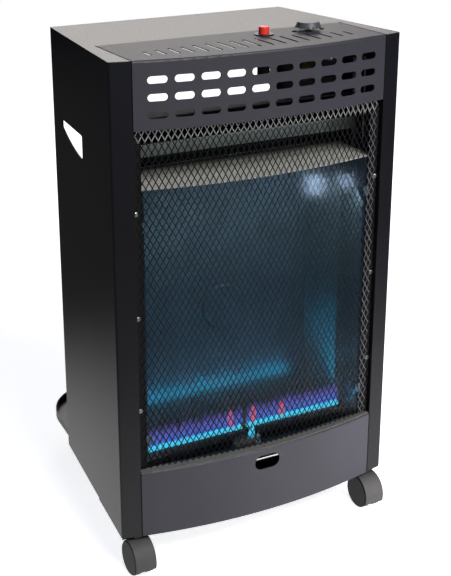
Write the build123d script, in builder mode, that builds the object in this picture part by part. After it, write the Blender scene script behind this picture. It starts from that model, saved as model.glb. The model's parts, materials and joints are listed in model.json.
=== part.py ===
"""Portable gas cabinet heater on casters: a bowed front unit with a glass-fronted
blue-flame burner behind a mesh guard, and an open-backed hood and tray for the bottle.

Millimetres. +Z is up, the bowed front faces -Y, and the origin lies on the floor
under the middle of the whole outline.
"""
from build123d import *
from math import atan, cos, degrees, hypot, radians, sin, sqrt
import os

os.makedirs("parts", exist_ok=True)

# ---- cabinet outline -------------------------------------------------------------
front_width = 432.0        # over the two front corners
seam_inset = 10.5          # the seams with the side panels stand inside the front corners
rear_inset = 28.0          # the rear edges of the side panels stand inside the front corners
bow_rise = 28.0            # how far the middle of the front stands proud of the corners
seam_depth = 108.0         # front corner to seam
hood_depth = 276.0         # front corner to the rear edge of the side panels
tray_overhang = 170.0      # tray beyond the side panels
body_height = 670.0
caster_height = 60.0
sheet = 1.2                # steel sheet of the casing
bend_radius = 3.0
pillar_width = 28.0
panel_gap = 0.3            # shadow gap between the pillars and what they frame
skirt_lift = 3.0           # the side panels end this much above the pillars
side_flange = 14.0         # inward flange round each side panel

# ---- front panels ----------------------------------------------------------------
fascia_height = 89.0
lower_panel_height = 100.0
ledge_depth = 18.0
flange_drop = 12.0         # down-turned edges of the top sheets
fascia_hem = 9.0
fret_margin = 15.0         # least plain width beside the fret
fret_rows = 3
fret_pitch_x = 34.7
fret_pitch_z = 22.3
fret_length = 26.0
fret_slot_height = 9.5
fret_below_top = 47.3      # middle fret row below the top face
vent_margin = 32.0         # least plain width beside the vents
vent_pitch = 18.8
vent_width = 4.0
vent_front_margin = 31.0   # front ends of the vents behind the bow
vent_back_depth = 54.0     # rear end of the middle vent behind the front corners
vent_back_curve = 13.0     # the outermost vents end this much further forward
sight_hole_length = 40.0
sight_hole_height = 22.0
sight_hole_below_ledge = 20.5
ledge_screw_end = 63.7     # outer foot screws inside the panel ends

# ---- side handles ----------------------------------------------------------------
handle_length = 103.0
handle_front_height = 33.0
handle_rear_height = 8.0
handle_bulge = 5.0         # the lower edge bows down from a straight line
handle_below_top = 123.5
handle_behind_seam = 21.0
handle_corner = 4.0

# ---- tray and front rail ---------------------------------------------------------
tray_rim = 12.0
tray_corner = 92.0
tray_step = 8.5            # the tray narrows where it leaves the side panels
rail_depth = 62.0
rail_height = 15.0

# ---- fire chamber ----------------------------------------------------------------
chamber_side_gap = 18.0    # chamber wall inside the pillars
chamber_corner_run = 46.0  # angled rear corners of the chamber
chamber_corner_in = 29.0
chamber_floor_below_ledge = 20.0
glass_setback = 2.0        # glass behind the line of the front corners
glass_thickness = 4.0
glass_side_gap = 13.0
glass_top_gap = 0.8
clip_height = 14.0
clip_foot = 9.0
visor_below_fascia = 81.0
visor_inset = 15.0         # visor edge behind the bowed face
visor_side_gap = 7.0
visor_corner = 12.0
outlet_margin = 6.0        # land round the flue outlet in the visor
header_height = 43.0
header_depth = 50.0
header_lip = 17.0
shield_gap = 10.0          # air gap behind the chamber
shield_lift = 4.0          # air slot between the tray floor and the shield
shield_top_below_fascia = 3.0
shield_roof_depth = 60.0
pressing_radius = 35.0     # round pressing in the chamber back
pressing_height = 3.0
pressing_below_fascia = 313.0

# ---- mesh guard ------------------------------------------------------------------
guard_inset = 5.0
guard_thickness = 1.0
guard_edge = 7.0           # plain border of the guard
guard_hem = 14.0
guard_foot = 9.0           # turned foot that lies on the ledge
mesh_columns = 11
mesh_rows = 11
mesh_strand = 2.6
guard_gap = 0.5
guard_screw_end = 90.5     # outer side screws from the ledge and the fascia
screw_head_radius = 3.2
screw_head_height = 1.8
screw_radius = 1.6

# ---- burner ----------------------------------------------------------------------
burner_setback = 41.0      # burner line behind the front corners
burner_end_gap = 7.0       # burner end to chamber wall
burner_gap = 6.0
burner_width = 24.0
burner_crown = 14.0        # width of the flat top that holds the ports
burner_height = 20.0
burner_shoulder = 13.0
port_pitch = 10.0
port_width = 3.0
port_depth = 2.0
mixer_radius = 13.0
mixer_wall = 1.2
mixer_drop = 22.0          # mixing tube axis below the chamber floor
mixer_length = 170.0
riser_radius = 9.0
riser_spacing = 120.0
mouth_gap = 5.0            # air gap between tube mouth and nozzle bracket
nozzle_hex = 14.0
nozzle_length = 14.0
pipe_radius = 4.0
pipe_bend = 14.0
pilot_setback = 23.0
pilot_radius = 4.0
pilot_pitch = 14.0
pilot_pipe_radius = 2.0
pilot_bend = 5.5
lead_radius = 1.5
lead_bend = 3.6
probe_radius = 2.5
electrode_radius = 3.0

# ---- controls --------------------------------------------------------------------
control_setback = 73.0     # knob and button axis behind the front corners
knob_end = 73.7            # knob axis inside the right end of the panel
button_spacing = 70.0      # button axis to knob axis
knob_radius = 18.0
knob_top_radius = 15.0
knob_height = 7.8
knob_lift = 4.5            # knob above the panel, so that it can be pushed
knob_flutes = 18
flute_radius = 1.2
pointer_width = 5.0        # notch in the knob that shows its setting
pointer_depth = 4.0
spindle_radius = 3.0
running_clearance = 0.05
valve_radius = 14.0
valve_height = 44.0
valve_flange = 4.0
valve_screw_spacing = 44.0
valve_port_radius = 8.0
valve_port_below = 29.0    # port axes below the top face
button_radius = 7.3
button_rise = 11.5
button_length = 24.0
button_clearance = 0.3
button_travel = 7.0
bezel_radius = 13.5
bezel_height = 1.6
igniter_radius = 8.6
igniter_length = 58.0
spigot_radius = 4.5
spigot_length = 20.0
spigot_hex = 17.0
spigot_collar = 10.0

# ---- casters ---------------------------------------------------------------------
wheel_radius = 25.0
wheel_width = 10.0
wheel_gap = 0.5
tread_wall = 3.0
web_width = 10.0
caster_trail = 19.0        # axle to stem
hood_radius = 28.0
hood_wall = 1.6
hood_front_angle = -22.0
hood_rear_angle = 140.0
stem_radius = 3.5
stem_boss_radius = 9.0
mount_plate_radius = 16.0
mount_plate = 2.0
axle_radius = 2.5
caster_front_inset = 25.0  # front stems inside the front corners
caster_front_setback = 20.5
caster_rear_inset = 53.0   # rear stems inside the rear edges
caster_rear_setback = 76.0 # rear stems ahead of the tray edge

# ---- derived places --------------------------------------------------------------
overall_depth = bow_rise + hood_depth + tray_overhang
corner_y = bow_rise - overall_depth / 2
bow_front_y = corner_y - bow_rise
seam_y = corner_y + seam_depth
hood_rear_y = corner_y + hood_depth
tray_rear_y = hood_rear_y + tray_overhang
body_bottom = caster_height
body_top = body_bottom + body_height
half_front = front_width / 2
half_seam = half_front - seam_inset
half_rear = half_front - rear_inset
inner_half = half_front - pillar_width
panel_half = inner_half - panel_gap
knob_x = panel_half - knob_end
button_x = knob_x - button_spacing
chamber_half_width = inner_half - chamber_side_gap
chamber_rear_half = chamber_half_width - chamber_corner_in
glass_half_width = inner_half - glass_side_gap
visor_half_width = inner_half - visor_side_gap
burner_length = chamber_half_width - burner_end_gap - burner_gap / 2
bow_radius = (half_front**2 + bow_rise**2) / (2 * bow_rise)
bow_centre_y = bow_front_y + bow_radius
ledge_z = body_bottom + lower_panel_height
fascia_bottom = body_top - fascia_height
visor_top = fascia_bottom - visor_below_fascia
visor_under = visor_top - sheet
header_top = visor_top + header_height
chamber_floor = ledge_z - chamber_floor_below_ledge
glass_front_y = corner_y + glass_setback
chamber_front_y = glass_front_y + glass_thickness
chamber_rear_y = seam_y + sheet
header_front_y = chamber_rear_y - header_depth
shield_y = chamber_rear_y + shield_gap
shield_top = fascia_bottom - shield_top_below_fascia
ledge_rear_limit = glass_front_y - sheet - panel_gap
guard_bottom = ledge_z
guard_top = fascia_bottom - guard_gap
guard_half = panel_half - guard_gap
side_screw_x = guard_half - guard_edge / 2
screw_mid_z = (ledge_z + fascia_bottom) / 2
guard_screw_spacing = (fascia_bottom - ledge_z) / 2 - guard_screw_end
ledge_screw_spacing = panel_half - ledge_screw_end
burner_y = corner_y + burner_setback
pilot_y = corner_y + pilot_setback
control_y = corner_y + control_setback


def bow_y(x, inset=0.0):
    """Depth of the bowed front at x, on a line inset behind its face."""
    return bow_centre_y - sqrt((bow_radius - inset) ** 2 - x**2)


def side_x(y, inset=0.0):
    """Half width of the cabinet at depth y, on a line inset inside its wall."""
    if y < seam_y:
        slope = (half_seam - half_front) / seam_depth
        return half_front + slope * (y - corner_y) - inset * hypot(1, slope)
    slope = (half_rear - half_seam) / (hood_depth - seam_depth)
    return half_seam + slope * (y - seam_y) - inset * hypot(1, slope)


def bow_point(x, inset=0.0):
    return (x, bow_y(x, inset))


def bow_arc(x_from, x_to, inset=0.0):
    """Arc of the bowed front between two x positions."""
    middle = (x_from + x_to) / 2
    return ThreePointArc(bow_point(x_from, inset), bow_point(middle, inset), bow_point(x_to, inset))


def bowed_outline(half_width, inset, rear_y, rear_half=None):
    """Plan face with a bowed front edge, straight sides and a straight rear edge."""
    rear_half = half_width if rear_half is None else rear_half
    with BuildSketch() as outline:
        with BuildLine():
            bow_arc(-half_width, half_width, inset)
            Polyline(bow_point(half_width, inset), (rear_half, rear_y), (-rear_half, rear_y),
                     bow_point(-half_width, inset))
        make_face()
    return outline.sketch


def bowed_strip(half_width, inset, depth):
    """Plan face of a strip that follows the bow."""
    with BuildSketch() as strip:
        with BuildLine():
            bow_arc(-half_width, half_width, inset)
            Line(bow_point(half_width, inset), bow_point(half_width, inset + depth))
            bow_arc(half_width, -half_width, inset + depth)
            Line(bow_point(-half_width, inset + depth), bow_point(-half_width, inset))
        make_face()
    return strip.sketch


def plan_rectangle(x_from, x_to, y_from, y_to, mode=Mode.ADD):
    with Locations(((x_from + x_to) / 2, (y_from + y_to) / 2)):
        Rectangle(abs(x_to - x_from), abs(y_to - y_from), mode=mode)


def block(x_from, x_to, y_from, y_to, z_from, z_to, mode=Mode.ADD):
    """Plate or bar between two opposite corners."""
    with Locations(((x_from + x_to) / 2, (y_from + y_to) / 2, (z_from + z_to) / 2)):
        Box(abs(x_to - x_from), abs(y_to - y_from), abs(z_to - z_from), mode=mode)


def upright(x, y, z_from, z_to, radius, mode=Mode.ADD):
    """Vertical round bar or hole."""
    with Locations((x, y, (z_from + z_to) / 2)):
        Cylinder(radius, abs(z_to - z_from), mode=mode)


def rod_x(x_from, x_to, y, z, radius, mode=Mode.ADD):
    """Round bar or hole along X."""
    with Locations(Location(((x_from + x_to) / 2, y, z), (0, 90, 0))):
        Cylinder(radius, abs(x_to - x_from), mode=mode)


def rod_y(x, y_from, y_to, z, radius, mode=Mode.ADD):
    """Round bar or hole along Y."""
    with Locations(Location((x, (y_from + y_to) / 2, z), (90, 0, 0))):
        Cylinder(radius, abs(y_to - y_from), mode=mode)


# ==== casing ======================================================================

for side, side_name in ((-1, "left"), (1, "right")):
    inner_x = side * inner_half
    front_corner = (side * half_front, corner_y)
    with BuildPart() as front_pillar:
        with BuildSketch(Plane.XY.offset(body_bottom)):
            with BuildLine():
                bow_arc(inner_x, side * half_front)
                Polyline(front_corner, (side * half_seam, seam_y), (inner_x, seam_y), bow_point(inner_x))
            make_face()
        extrude(amount=body_height)
        upright_edges = front_pillar.edges().filter_by(Axis.Z)
        fillet(upright_edges.sort_by_distance((*front_corner, body_bottom))[0], bend_radius)
        pillar_faces = front_pillar.faces()
        inner_side = pillar_faces.sort_by(Axis.X)[-1 if side < 0 else 0]
        offset(amount=-sheet, openings=[inner_side, pillar_faces.sort_by(Axis.Z)[0]])
        # turned-in edge that the guard and the chamber are fastened to
        block(inner_x, inner_x + side * sheet, bow_y(inner_x) + sheet / 2, chamber_front_y + sheet,
              body_bottom, body_top - sheet)
    front_pillar.part.label = f"{side_name}_front_pillar"
    export_step(front_pillar.part, f"parts/{side_name}_front_pillar.step")


def handle_outline():
    """Fin-shaped hand hole: straight on top, deepest at the front. Drawn on the YZ plane."""
    top_z = body_top - handle_below_top
    front_y = seam_y + handle_behind_seam
    rear_y = front_y + handle_length
    front_low = (front_y, top_z - handle_front_height)
    rear_low = (rear_y, top_z - handle_rear_height)
    middle = ((front_y + rear_y) / 2, (front_low[1] + rear_low[1]) / 2 - handle_bulge)
    with BuildSketch() as outline:
        with BuildLine():
            Polyline(rear_low, (rear_y, top_z), (front_y, top_z), front_low)
            ThreePointArc(front_low, middle, rear_low)
        make_face()
        fillet(outline.vertices(), handle_corner)
    return outline.sketch


skirt_bottom = body_bottom + skirt_lift
skirt_top = body_bottom + tray_rim + skirt_lift
for side, side_name in ((-1, "left"), (1, "right")):
    with BuildPart() as side_panel:
        with BuildSketch(Plane.XY.offset(skirt_top)):
            with BuildLine():
                Polyline((side * side_x(seam_y), seam_y), (side * side_x(hood_rear_y), hood_rear_y),
                         (side * side_x(hood_rear_y, side_flange), hood_rear_y),
                         (side * side_x(seam_y, side_flange), seam_y), close=True)
            make_face()
        extrude(amount=body_top - sheet - skirt_top)
        panel_faces = side_panel.faces()
        long_sides = panel_faces.filter_by(Axis.Z, reverse=True).filter_by(Axis.Y, reverse=True)
        inner_side = long_sides.sort_by(Axis.X)[-1 if side < 0 else 0]
        offset(amount=-sheet, openings=[inner_side, panel_faces.sort_by(Axis.Z)[0]])
        # plain skirt that laps the tray rim
        with BuildSketch(Plane.XY.offset(skirt_bottom)):
            with BuildLine():
                Polyline((side * side_x(seam_y), seam_y), (side * side_x(hood_rear_y), hood_rear_y),
                         (side * side_x(hood_rear_y, sheet), hood_rear_y),
                         (side * side_x(seam_y, sheet), seam_y), close=True)
            make_face()
        extrude(amount=skirt_top - skirt_bottom)
        with BuildSketch(Plane.YZ.offset(side * (half_rear - 2 * side_flange))):
            add(handle_outline())
        extrude(amount=side * (half_front - half_rear + 2 * side_flange), mode=Mode.SUBTRACT)
    side_panel.part.label = f"{side_name}_side_panel"
    export_step(side_panel.part, f"parts/{side_name}_side_panel.step")

with BuildPart() as top_panel:
    with BuildSketch(Plane.XY.offset(body_top - sheet)):
        with BuildLine():
            Polyline((-half_seam, seam_y), (half_seam, seam_y), (half_rear, hood_rear_y),
                     (-half_rear, hood_rear_y), close=True)
        make_face()
    extrude(amount=sheet)
    front_half = side_x(seam_y, side_flange) - 2 * panel_gap
    rear_half = side_x(hood_rear_y, side_flange) - 2 * panel_gap
    block(-front_half, front_half, seam_y, seam_y + sheet, body_top - flange_drop, body_top - sheet)
    block(-rear_half, rear_half, hood_rear_y - sheet, hood_rear_y, body_top - flange_drop, body_top - sheet)
top_panel.part.label = "top_panel"
export_step(top_panel.part, "parts/top_panel.step")

fret_columns = int((2 * (panel_half - fret_margin) - fret_length) / fret_pitch_x) + 1
vent_count = int(2 * (panel_half - vent_margin) / vent_pitch) + 1
with BuildPart() as control_panel:
    with BuildSketch(Plane.XY.offset(fascia_bottom)):
        add(bowed_outline(panel_half, 0, seam_y))
    extrude(amount=fascia_height)
    fillet(control_panel.edges().group_by(Axis.Z)[-1].sort_by(Axis.Y)[0], bend_radius)
    with BuildSketch(Plane.XY.offset(fascia_bottom)):
        add(bowed_outline(panel_half, sheet, seam_y))
    extrude(amount=fascia_height - sheet, mode=Mode.SUBTRACT)
    under = body_top - sheet
    inner_fold = control_panel.edges().filter_by_position(Axis.Z, under, under).sort_by(Axis.Y)[0]
    fillet(inner_fold, bend_radius - sheet)
    block(-panel_half, panel_half, seam_y - sheet, seam_y, body_top - flange_drop, under)
    for side in (-1, 1):
        edge = side * panel_half
        block(edge, edge - side * sheet, bow_y(edge) + bend_radius, seam_y, body_top - flange_drop, under)
    with BuildSketch(Plane.XY.offset(fascia_bottom)):
        add(bowed_strip(panel_half, 0, fascia_hem))
    extrude(amount=sheet)
    # fretted front
    with BuildSketch(Plane.XZ.offset(-bow_front_y + sheet)):
        with Locations((0, body_top - fret_below_top)):
            with GridLocations(fret_pitch_x, fret_pitch_z, fret_columns, fret_rows):
                SlotOverall(fret_length, fret_slot_height)
    extrude(amount=-(bow_rise + 2 * sheet), mode=Mode.SUBTRACT)
    # narrow vents across the top, longest in the middle
    with BuildSketch(Plane.XY.offset(under)):
        half_span = vent_pitch * (vent_count - 1) / 2
        for number in range(vent_count):
            vent_x = number * vent_pitch - half_span
            vent_front = bow_y(vent_x) + vent_front_margin
            vent_back = corner_y + vent_back_depth - vent_back_curve * (vent_x / half_span) ** 2
            with Locations((vent_x, (vent_front + vent_back) / 2)):
                SlotOverall(vent_back - vent_front, vent_width, rotation=90)
    extrude(amount=sheet, mode=Mode.SUBTRACT)
    upright(knob_x, control_y, under, body_top, spindle_radius + 2 * sheet, Mode.SUBTRACT)
    upright(button_x, control_y, under, body_top, igniter_radius, Mode.SUBTRACT)
    for side in (-1, 1):
        upright(knob_x + side * valve_screw_spacing / 2, control_y, under, body_top, screw_radius,
                Mode.SUBTRACT)
control_panel.part.label = "control_panel"
export_step(control_panel.part, "parts/control_panel.step")

with BuildPart() as lower_front_panel:
    with BuildSketch(Plane.XY.offset(body_bottom)):
        add(bowed_strip(panel_half, 0, ledge_depth))
    extrude(amount=lower_panel_height)
    fillet(lower_front_panel.edges().group_by(Axis.Z)[-1].sort_by(Axis.Y)[0], bend_radius)
    with BuildSketch(Plane.XY.offset(body_bottom + sheet)):
        add(bowed_strip(panel_half, sheet, ledge_depth))
    extrude(amount=lower_panel_height - 2 * sheet, mode=Mode.SUBTRACT)
    ledge_under = ledge_z - sheet
    inner_fold = lower_front_panel.edges().filter_by_position(Axis.Z, ledge_under, ledge_under)
    fillet(inner_fold.sort_by(Axis.Y)[0], bend_radius - sheet)
    with BuildSketch(Plane.XZ.offset(-bow_front_y + sheet)):
        with Locations((0, ledge_z - sight_hole_below_ledge)):
            SlotOverall(sight_hole_length, sight_hole_height)
    extrude(amount=-(3 * sheet), mode=Mode.SUBTRACT)
    for number in (-1, 0, 1):
        screw_x = number * ledge_screw_spacing
        upright(screw_x, bow_y(screw_x, guard_inset + guard_foot / 2), ledge_z - sheet, ledge_z,
                screw_radius, Mode.SUBTRACT)
    # the ends of the ledge stop short of the glass
    block(-panel_half, panel_half, ledge_rear_limit, ledge_rear_limit + ledge_depth, body_bottom + sheet,
          ledge_z, Mode.SUBTRACT)
lower_front_panel.part.label = "lower_front_panel"
export_step(lower_front_panel.part, "parts/lower_front_panel.step")

with BuildPart() as front_rail:
    rail_rear_y = bow_y(inner_half, ledge_depth) + rail_depth
    rail_half = side_x(corner_y + ledge_depth, sheet)
    with BuildSketch(Plane.XY.offset(body_bottom)):
        add(bowed_outline(rail_half, ledge_depth, rail_rear_y, side_x(rail_rear_y, sheet)))
    extrude(amount=rail_height)
    offset(amount=-sheet, openings=[front_rail.faces().sort_by(Axis.Z)[-1]])
front_rail.part.label = "front_rail"
export_step(front_rail.part, "parts/front_rail.step")

with BuildPart() as bottle_tray:
    with BuildSketch(Plane.XY.offset(body_bottom)) as tray_plan:
        front_half = side_x(seam_y, sheet)
        hood_half_width = side_x(hood_rear_y, sheet)
        rear_half = side_x(tray_rear_y, sheet)
        with BuildLine():
            Polyline((-front_half, seam_y), (front_half, seam_y), (hood_half_width, hood_rear_y),
                     (hood_half_width - tray_step, hood_rear_y), (rear_half, tray_rear_y),
                     (-rear_half, tray_rear_y), (tray_step - hood_half_width, hood_rear_y),
                     (-hood_half_width, hood_rear_y), close=True)
        make_face()
        fillet(tray_plan.vertices().group_by(Axis.Y)[-1], tray_corner)
    extrude(amount=tray_rim)
    offset(amount=-sheet, openings=[bottle_tray.faces().sort_by(Axis.Z)[-1]])
bottle_tray.part.label = "bottle_tray"
export_step(bottle_tray.part, "parts/bottle_tray.step")

# ==== fire chamber ================================================================

chamber_wall_x = chamber_half_width + sheet
with BuildPart() as fire_chamber:
    with BuildSketch(Plane.XY.offset(chamber_floor)):
        corner_start_y = chamber_rear_y - chamber_corner_run
        rear_wall_x = chamber_wall_x - chamber_corner_in
        with BuildLine():
            Polyline((-chamber_wall_x, chamber_front_y), (chamber_wall_x, chamber_front_y),
                     (chamber_wall_x, corner_start_y), (rear_wall_x, chamber_rear_y),
                     (-rear_wall_x, chamber_rear_y), (-chamber_wall_x, corner_start_y), close=True)
        make_face()
    extrude(amount=visor_under - chamber_floor)
    chamber_faces = fire_chamber.faces()
    offset(amount=-sheet, openings=[chamber_faces.sort_by(Axis.Z)[0], chamber_faces.sort_by(Axis.Z)[-1],
                                    chamber_faces.sort_by(Axis.Y)[0]])
    for side in (-1, 1):
        block(side * chamber_half_width, side * inner_half, chamber_front_y, chamber_front_y + sheet,
              chamber_floor, visor_under)
        for number in (-1, 0, 1):
            rod_y(side * side_screw_x, chamber_front_y, chamber_front_y + sheet,
                  screw_mid_z + number * guard_screw_spacing, screw_radius, Mode.SUBTRACT)
    # round pressing in the back wall, hollow from behind
    pressing_z = fascia_bottom - pressing_below_fascia
    with BuildSketch(Plane.XZ.offset(-seam_y)):
        with Locations((0, pressing_z)):
            Circle(pressing_radius)
    extrude(amount=pressing_height, taper=45)
    with BuildSketch(Plane.XZ.offset(-chamber_rear_y)):
        with Locations((0, pressing_z)):
            Circle(pressing_radius)
    extrude(amount=pressing_height, taper=45, mode=Mode.SUBTRACT)
fire_chamber.part.label = "fire_chamber"
export_step(fire_chamber.part, "parts/fire_chamber.step")

mixer_z = chamber_floor - sheet - mixer_drop
bracket_x = mixer_length / 2 + mixer_radius + mouth_gap
with BuildPart() as chamber_base:
    block(-panel_half, panel_half, corner_y, chamber_rear_y, chamber_floor - sheet, chamber_floor)
    block(-panel_half, panel_half, chamber_rear_y - sheet, chamber_rear_y,
          chamber_floor - flange_drop, chamber_floor - sheet)
    for side in (-1, 1):
        upright(side * riser_spacing / 2, burner_y, chamber_floor - sheet, chamber_floor, riser_radius,
                Mode.SUBTRACT)
    for number in (-1, 0, 1):
        upright(number * pilot_pitch, pilot_y, chamber_floor - sheet, chamber_floor,
                pilot_radius, Mode.SUBTRACT)
chamber_base.part.label = "chamber_base"
export_step(chamber_base.part, "parts/chamber_base.step")

with BuildPart() as glass_rail:
    block(-glass_half_width, glass_half_width, glass_front_y - sheet, chamber_front_y,
          chamber_floor, chamber_floor + sheet)
    block(-glass_half_width, glass_half_width, glass_front_y - sheet, glass_front_y,
          chamber_floor + sheet, chamber_floor + flange_drop)
glass_rail.part.label = "glass_rail"
export_step(glass_rail.part, "parts/glass_rail.step")

with BuildPart() as glass_pane:
    block(-glass_half_width, glass_half_width, glass_front_y, chamber_front_y,
          chamber_floor + sheet, visor_under - glass_top_gap)
    chamfer(glass_pane.edges().filter_by(Axis.Z), glass_thickness / 5)
glass_pane.part.label = "glass_pane"
export_step(glass_pane.part, "parts/glass_pane.step")

with BuildPart() as glass_clips:
    for side in (-1, 1):
        glass_edge = glass_half_width + panel_gap
        for clip_z in (chamber_floor + 4 * clip_height, visor_under - 4 * clip_height):
            with BuildSketch(Plane.XY.offset(clip_z)):
                with BuildLine():
                    Polyline((side * (glass_edge + clip_foot), chamber_front_y),
                             (side * glass_edge, chamber_front_y),
                             (side * glass_edge, glass_front_y),
                             (side * (glass_edge - clip_foot), glass_front_y),
                             (side * (glass_edge - clip_foot), glass_front_y - sheet),
                             (side * (glass_edge + sheet), glass_front_y - sheet),
                             (side * (glass_edge + sheet), chamber_front_y - sheet),
                             (side * (glass_edge + clip_foot), chamber_front_y - sheet), close=True)
                make_face()
            extrude(amount=clip_height)
glass_clips.part.label = "glass_clips"
export_step(glass_clips.part, "parts/glass_clips.step")

with BuildPart() as visor:
    with BuildSketch(Plane.XY.offset(visor_under)) as visor_plan:
        add(bowed_outline(visor_half_width, visor_inset, chamber_rear_y))
        fillet(visor_plan.vertices().group_by(Axis.Y)[0], visor_corner)
        plan_rectangle(-chamber_rear_half + outlet_margin, chamber_rear_half - outlet_margin,
                       header_front_y + 2 * outlet_margin, seam_y - outlet_margin, Mode.SUBTRACT)
    extrude(amount=sheet)
visor.part.label = "visor"
export_step(visor.part, "parts/visor.step")

with BuildPart() as flue_header:
    with BuildSketch(Plane.XY.offset(visor_top)):
        plan_rectangle(-panel_half, panel_half, header_front_y, chamber_rear_y)
    extrude(amount=header_height)
    header_faces = flue_header.faces()
    offset(amount=-sheet, openings=[header_faces.sort_by(Axis.Z)[0], header_faces.sort_by(Axis.Y)[0]])
    block(-panel_half, panel_half, header_front_y, header_front_y + sheet,
          header_top - header_lip, header_top)
flue_header.part.label = "flue_header"
export_step(flue_header.part, "parts/flue_header.step")

with BuildPart() as heat_shield:
    shield_half = side_x(seam_y, side_flange) + 2 * sheet
    shield_bottom = body_bottom + sheet + shield_lift
    block(-shield_half, shield_half, shield_y, shield_y + sheet, shield_bottom, shield_top)
    block(-inner_half + sheet, inner_half - sheet, shield_y - shield_roof_depth, shield_y + sheet,
          shield_top - sheet, shield_top)
    for side in (-1, 1):
        block(side * shield_half, side * (shield_half - sheet), chamber_rear_y, shield_y,
              skirt_top, shield_top)
heat_shield.part.label = "heat_shield"
export_step(heat_shield.part, "parts/heat_shield.step")

# ==== mesh guard ==================================================================

mesh_bottom = guard_bottom + guard_edge / 2
mesh_top = guard_top - guard_hem
mesh_half = guard_half - guard_edge
mesh_pitch_x = 2 * mesh_half / mesh_columns
mesh_pitch_z = (mesh_top - mesh_bottom) / mesh_rows

with BuildPart() as mesh_guard:
    with BuildSketch(Plane.XY.offset(guard_bottom)):
        add(bowed_strip(guard_half, guard_inset, guard_thickness))
    extrude(amount=guard_top - guard_bottom)
    # expanded-metal diamonds in staggered rows
    half_diagonal_x = mesh_pitch_x / 2 - mesh_strand * hypot(mesh_pitch_x, mesh_pitch_z) / mesh_pitch_z / 2
    half_diagonal_z = half_diagonal_x * mesh_pitch_z / mesh_pitch_x
    diamond = [(half_diagonal_x, 0), (0, half_diagonal_z), (-half_diagonal_x, 0), (0, -half_diagonal_z)]
    with BuildSketch(Plane.XZ.offset(-bow_front_y)):
        with Locations((0, (mesh_bottom + mesh_top) / 2)):
            with GridLocations(mesh_pitch_x, mesh_pitch_z, mesh_columns, mesh_rows):
                Polygon(*diamond)
            with GridLocations(mesh_pitch_x, mesh_pitch_z, mesh_columns - 1, mesh_rows - 1):
                Polygon(*diamond)
    extrude(amount=-(bow_rise + guard_inset + guard_thickness), mode=Mode.SUBTRACT)
    with BuildSketch(Plane.XY.offset(guard_top - guard_hem)):
        add(bowed_strip(guard_half, guard_inset, 2 * guard_thickness))
    extrude(amount=guard_hem)
    with BuildSketch(Plane.XY.offset(guard_bottom)):
        add(bowed_strip(guard_half, guard_inset, guard_foot))
        plan_rectangle(-guard_half, guard_half, ledge_rear_limit, ledge_rear_limit + guard_foot,
                       Mode.SUBTRACT)
    extrude(amount=guard_thickness)
    for side in (-1, 1):
        block(side * guard_half, side * (guard_half - guard_thickness), bow_y(guard_half, guard_inset),
              chamber_front_y, guard_bottom, guard_top)
        for number in (-1, 0, 1):
            rod_y(side * side_screw_x, bow_y(guard_half) - guard_inset, chamber_front_y - sheet,
                  screw_mid_z + number * guard_screw_spacing, screw_radius, Mode.SUBTRACT)
    for number in (-1, 0, 1):
        screw_x = number * ledge_screw_spacing
        upright(screw_x, bow_y(screw_x, guard_inset + guard_foot / 2), guard_bottom,
                guard_bottom + guard_thickness, screw_radius, Mode.SUBTRACT)
mesh_guard.part.label = "mesh_guard"
export_step(mesh_guard.part, "parts/mesh_guard.step")

with BuildPart() as guard_side_screws:
    seat_y = bow_y(side_screw_x - screw_head_radius, guard_inset)
    for side in (-1, 1):
        for number in (-1, 0, 1):
            screw_z = screw_mid_z + number * guard_screw_spacing
            rod_y(side * side_screw_x, seat_y - screw_head_height, seat_y, screw_z, screw_head_radius)
    fillet(guard_side_screws.edges().group_by(Axis.Y)[0], screw_head_height / 2)
    for side in (-1, 1):
        for number in (-1, 0, 1):
            screw_z = screw_mid_z + number * guard_screw_spacing
            rod_y(side * side_screw_x, seat_y, chamber_front_y + sheet, screw_z, screw_radius)
guard_side_screws.part.label = "guard_side_screws"
export_step(guard_side_screws.part, "parts/guard_side_screws.step")

with BuildPart() as guard_foot_screws:
    foot_top = guard_bottom + guard_thickness
    for number in (-1, 0, 1):
        screw_x = number * ledge_screw_spacing
        screw_y = bow_y(screw_x, guard_inset + guard_foot / 2)
        upright(screw_x, screw_y, foot_top, foot_top + screw_head_height, screw_head_radius)
        upright(screw_x, screw_y, ledge_z - 3 * sheet, foot_top, screw_radius)
    fillet(guard_foot_screws.edges().group_by(Axis.Z)[-1], screw_head_height / 2)
guard_foot_screws.part.label = "guard_foot_screws"
export_step(guard_foot_screws.part, "parts/guard_foot_screws.step")

# ==== burner ======================================================================

burner_top = chamber_floor + burner_height
for side, side_name in ((-1, "left"), (1, "right")):
    start_x = side * burner_gap / 2
    with BuildPart() as burner_bar:
        with BuildSketch(Plane.YZ.offset(start_x)):
            with BuildLine():
                Polyline((burner_y - burner_width / 2, chamber_floor),
                         (burner_y + burner_width / 2, chamber_floor),
                         (burner_y + burner_width / 2, chamber_floor + burner_shoulder),
                         (burner_y + burner_crown / 2, burner_top),
                         (burner_y - burner_crown / 2, burner_top),
                         (burner_y - burner_width / 2, chamber_floor + burner_shoulder), close=True)
            make_face()
        extrude(amount=side * burner_length)
        # flame ports across the crown
        with BuildSketch(Plane.XY.offset(burner_top)):
            with Locations((start_x + side * burner_length / 2, burner_y)):
                with GridLocations(port_pitch, 0, int(burner_length / port_pitch), 1):
                    Rectangle(port_width, burner_crown - port_width)
        extrude(amount=-port_depth, mode=Mode.SUBTRACT)
    burner_bar.part.label = f"{side_name}_burner_bar"
    export_step(burner_bar.part, f"parts/{side_name}_burner_bar.step")

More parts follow.
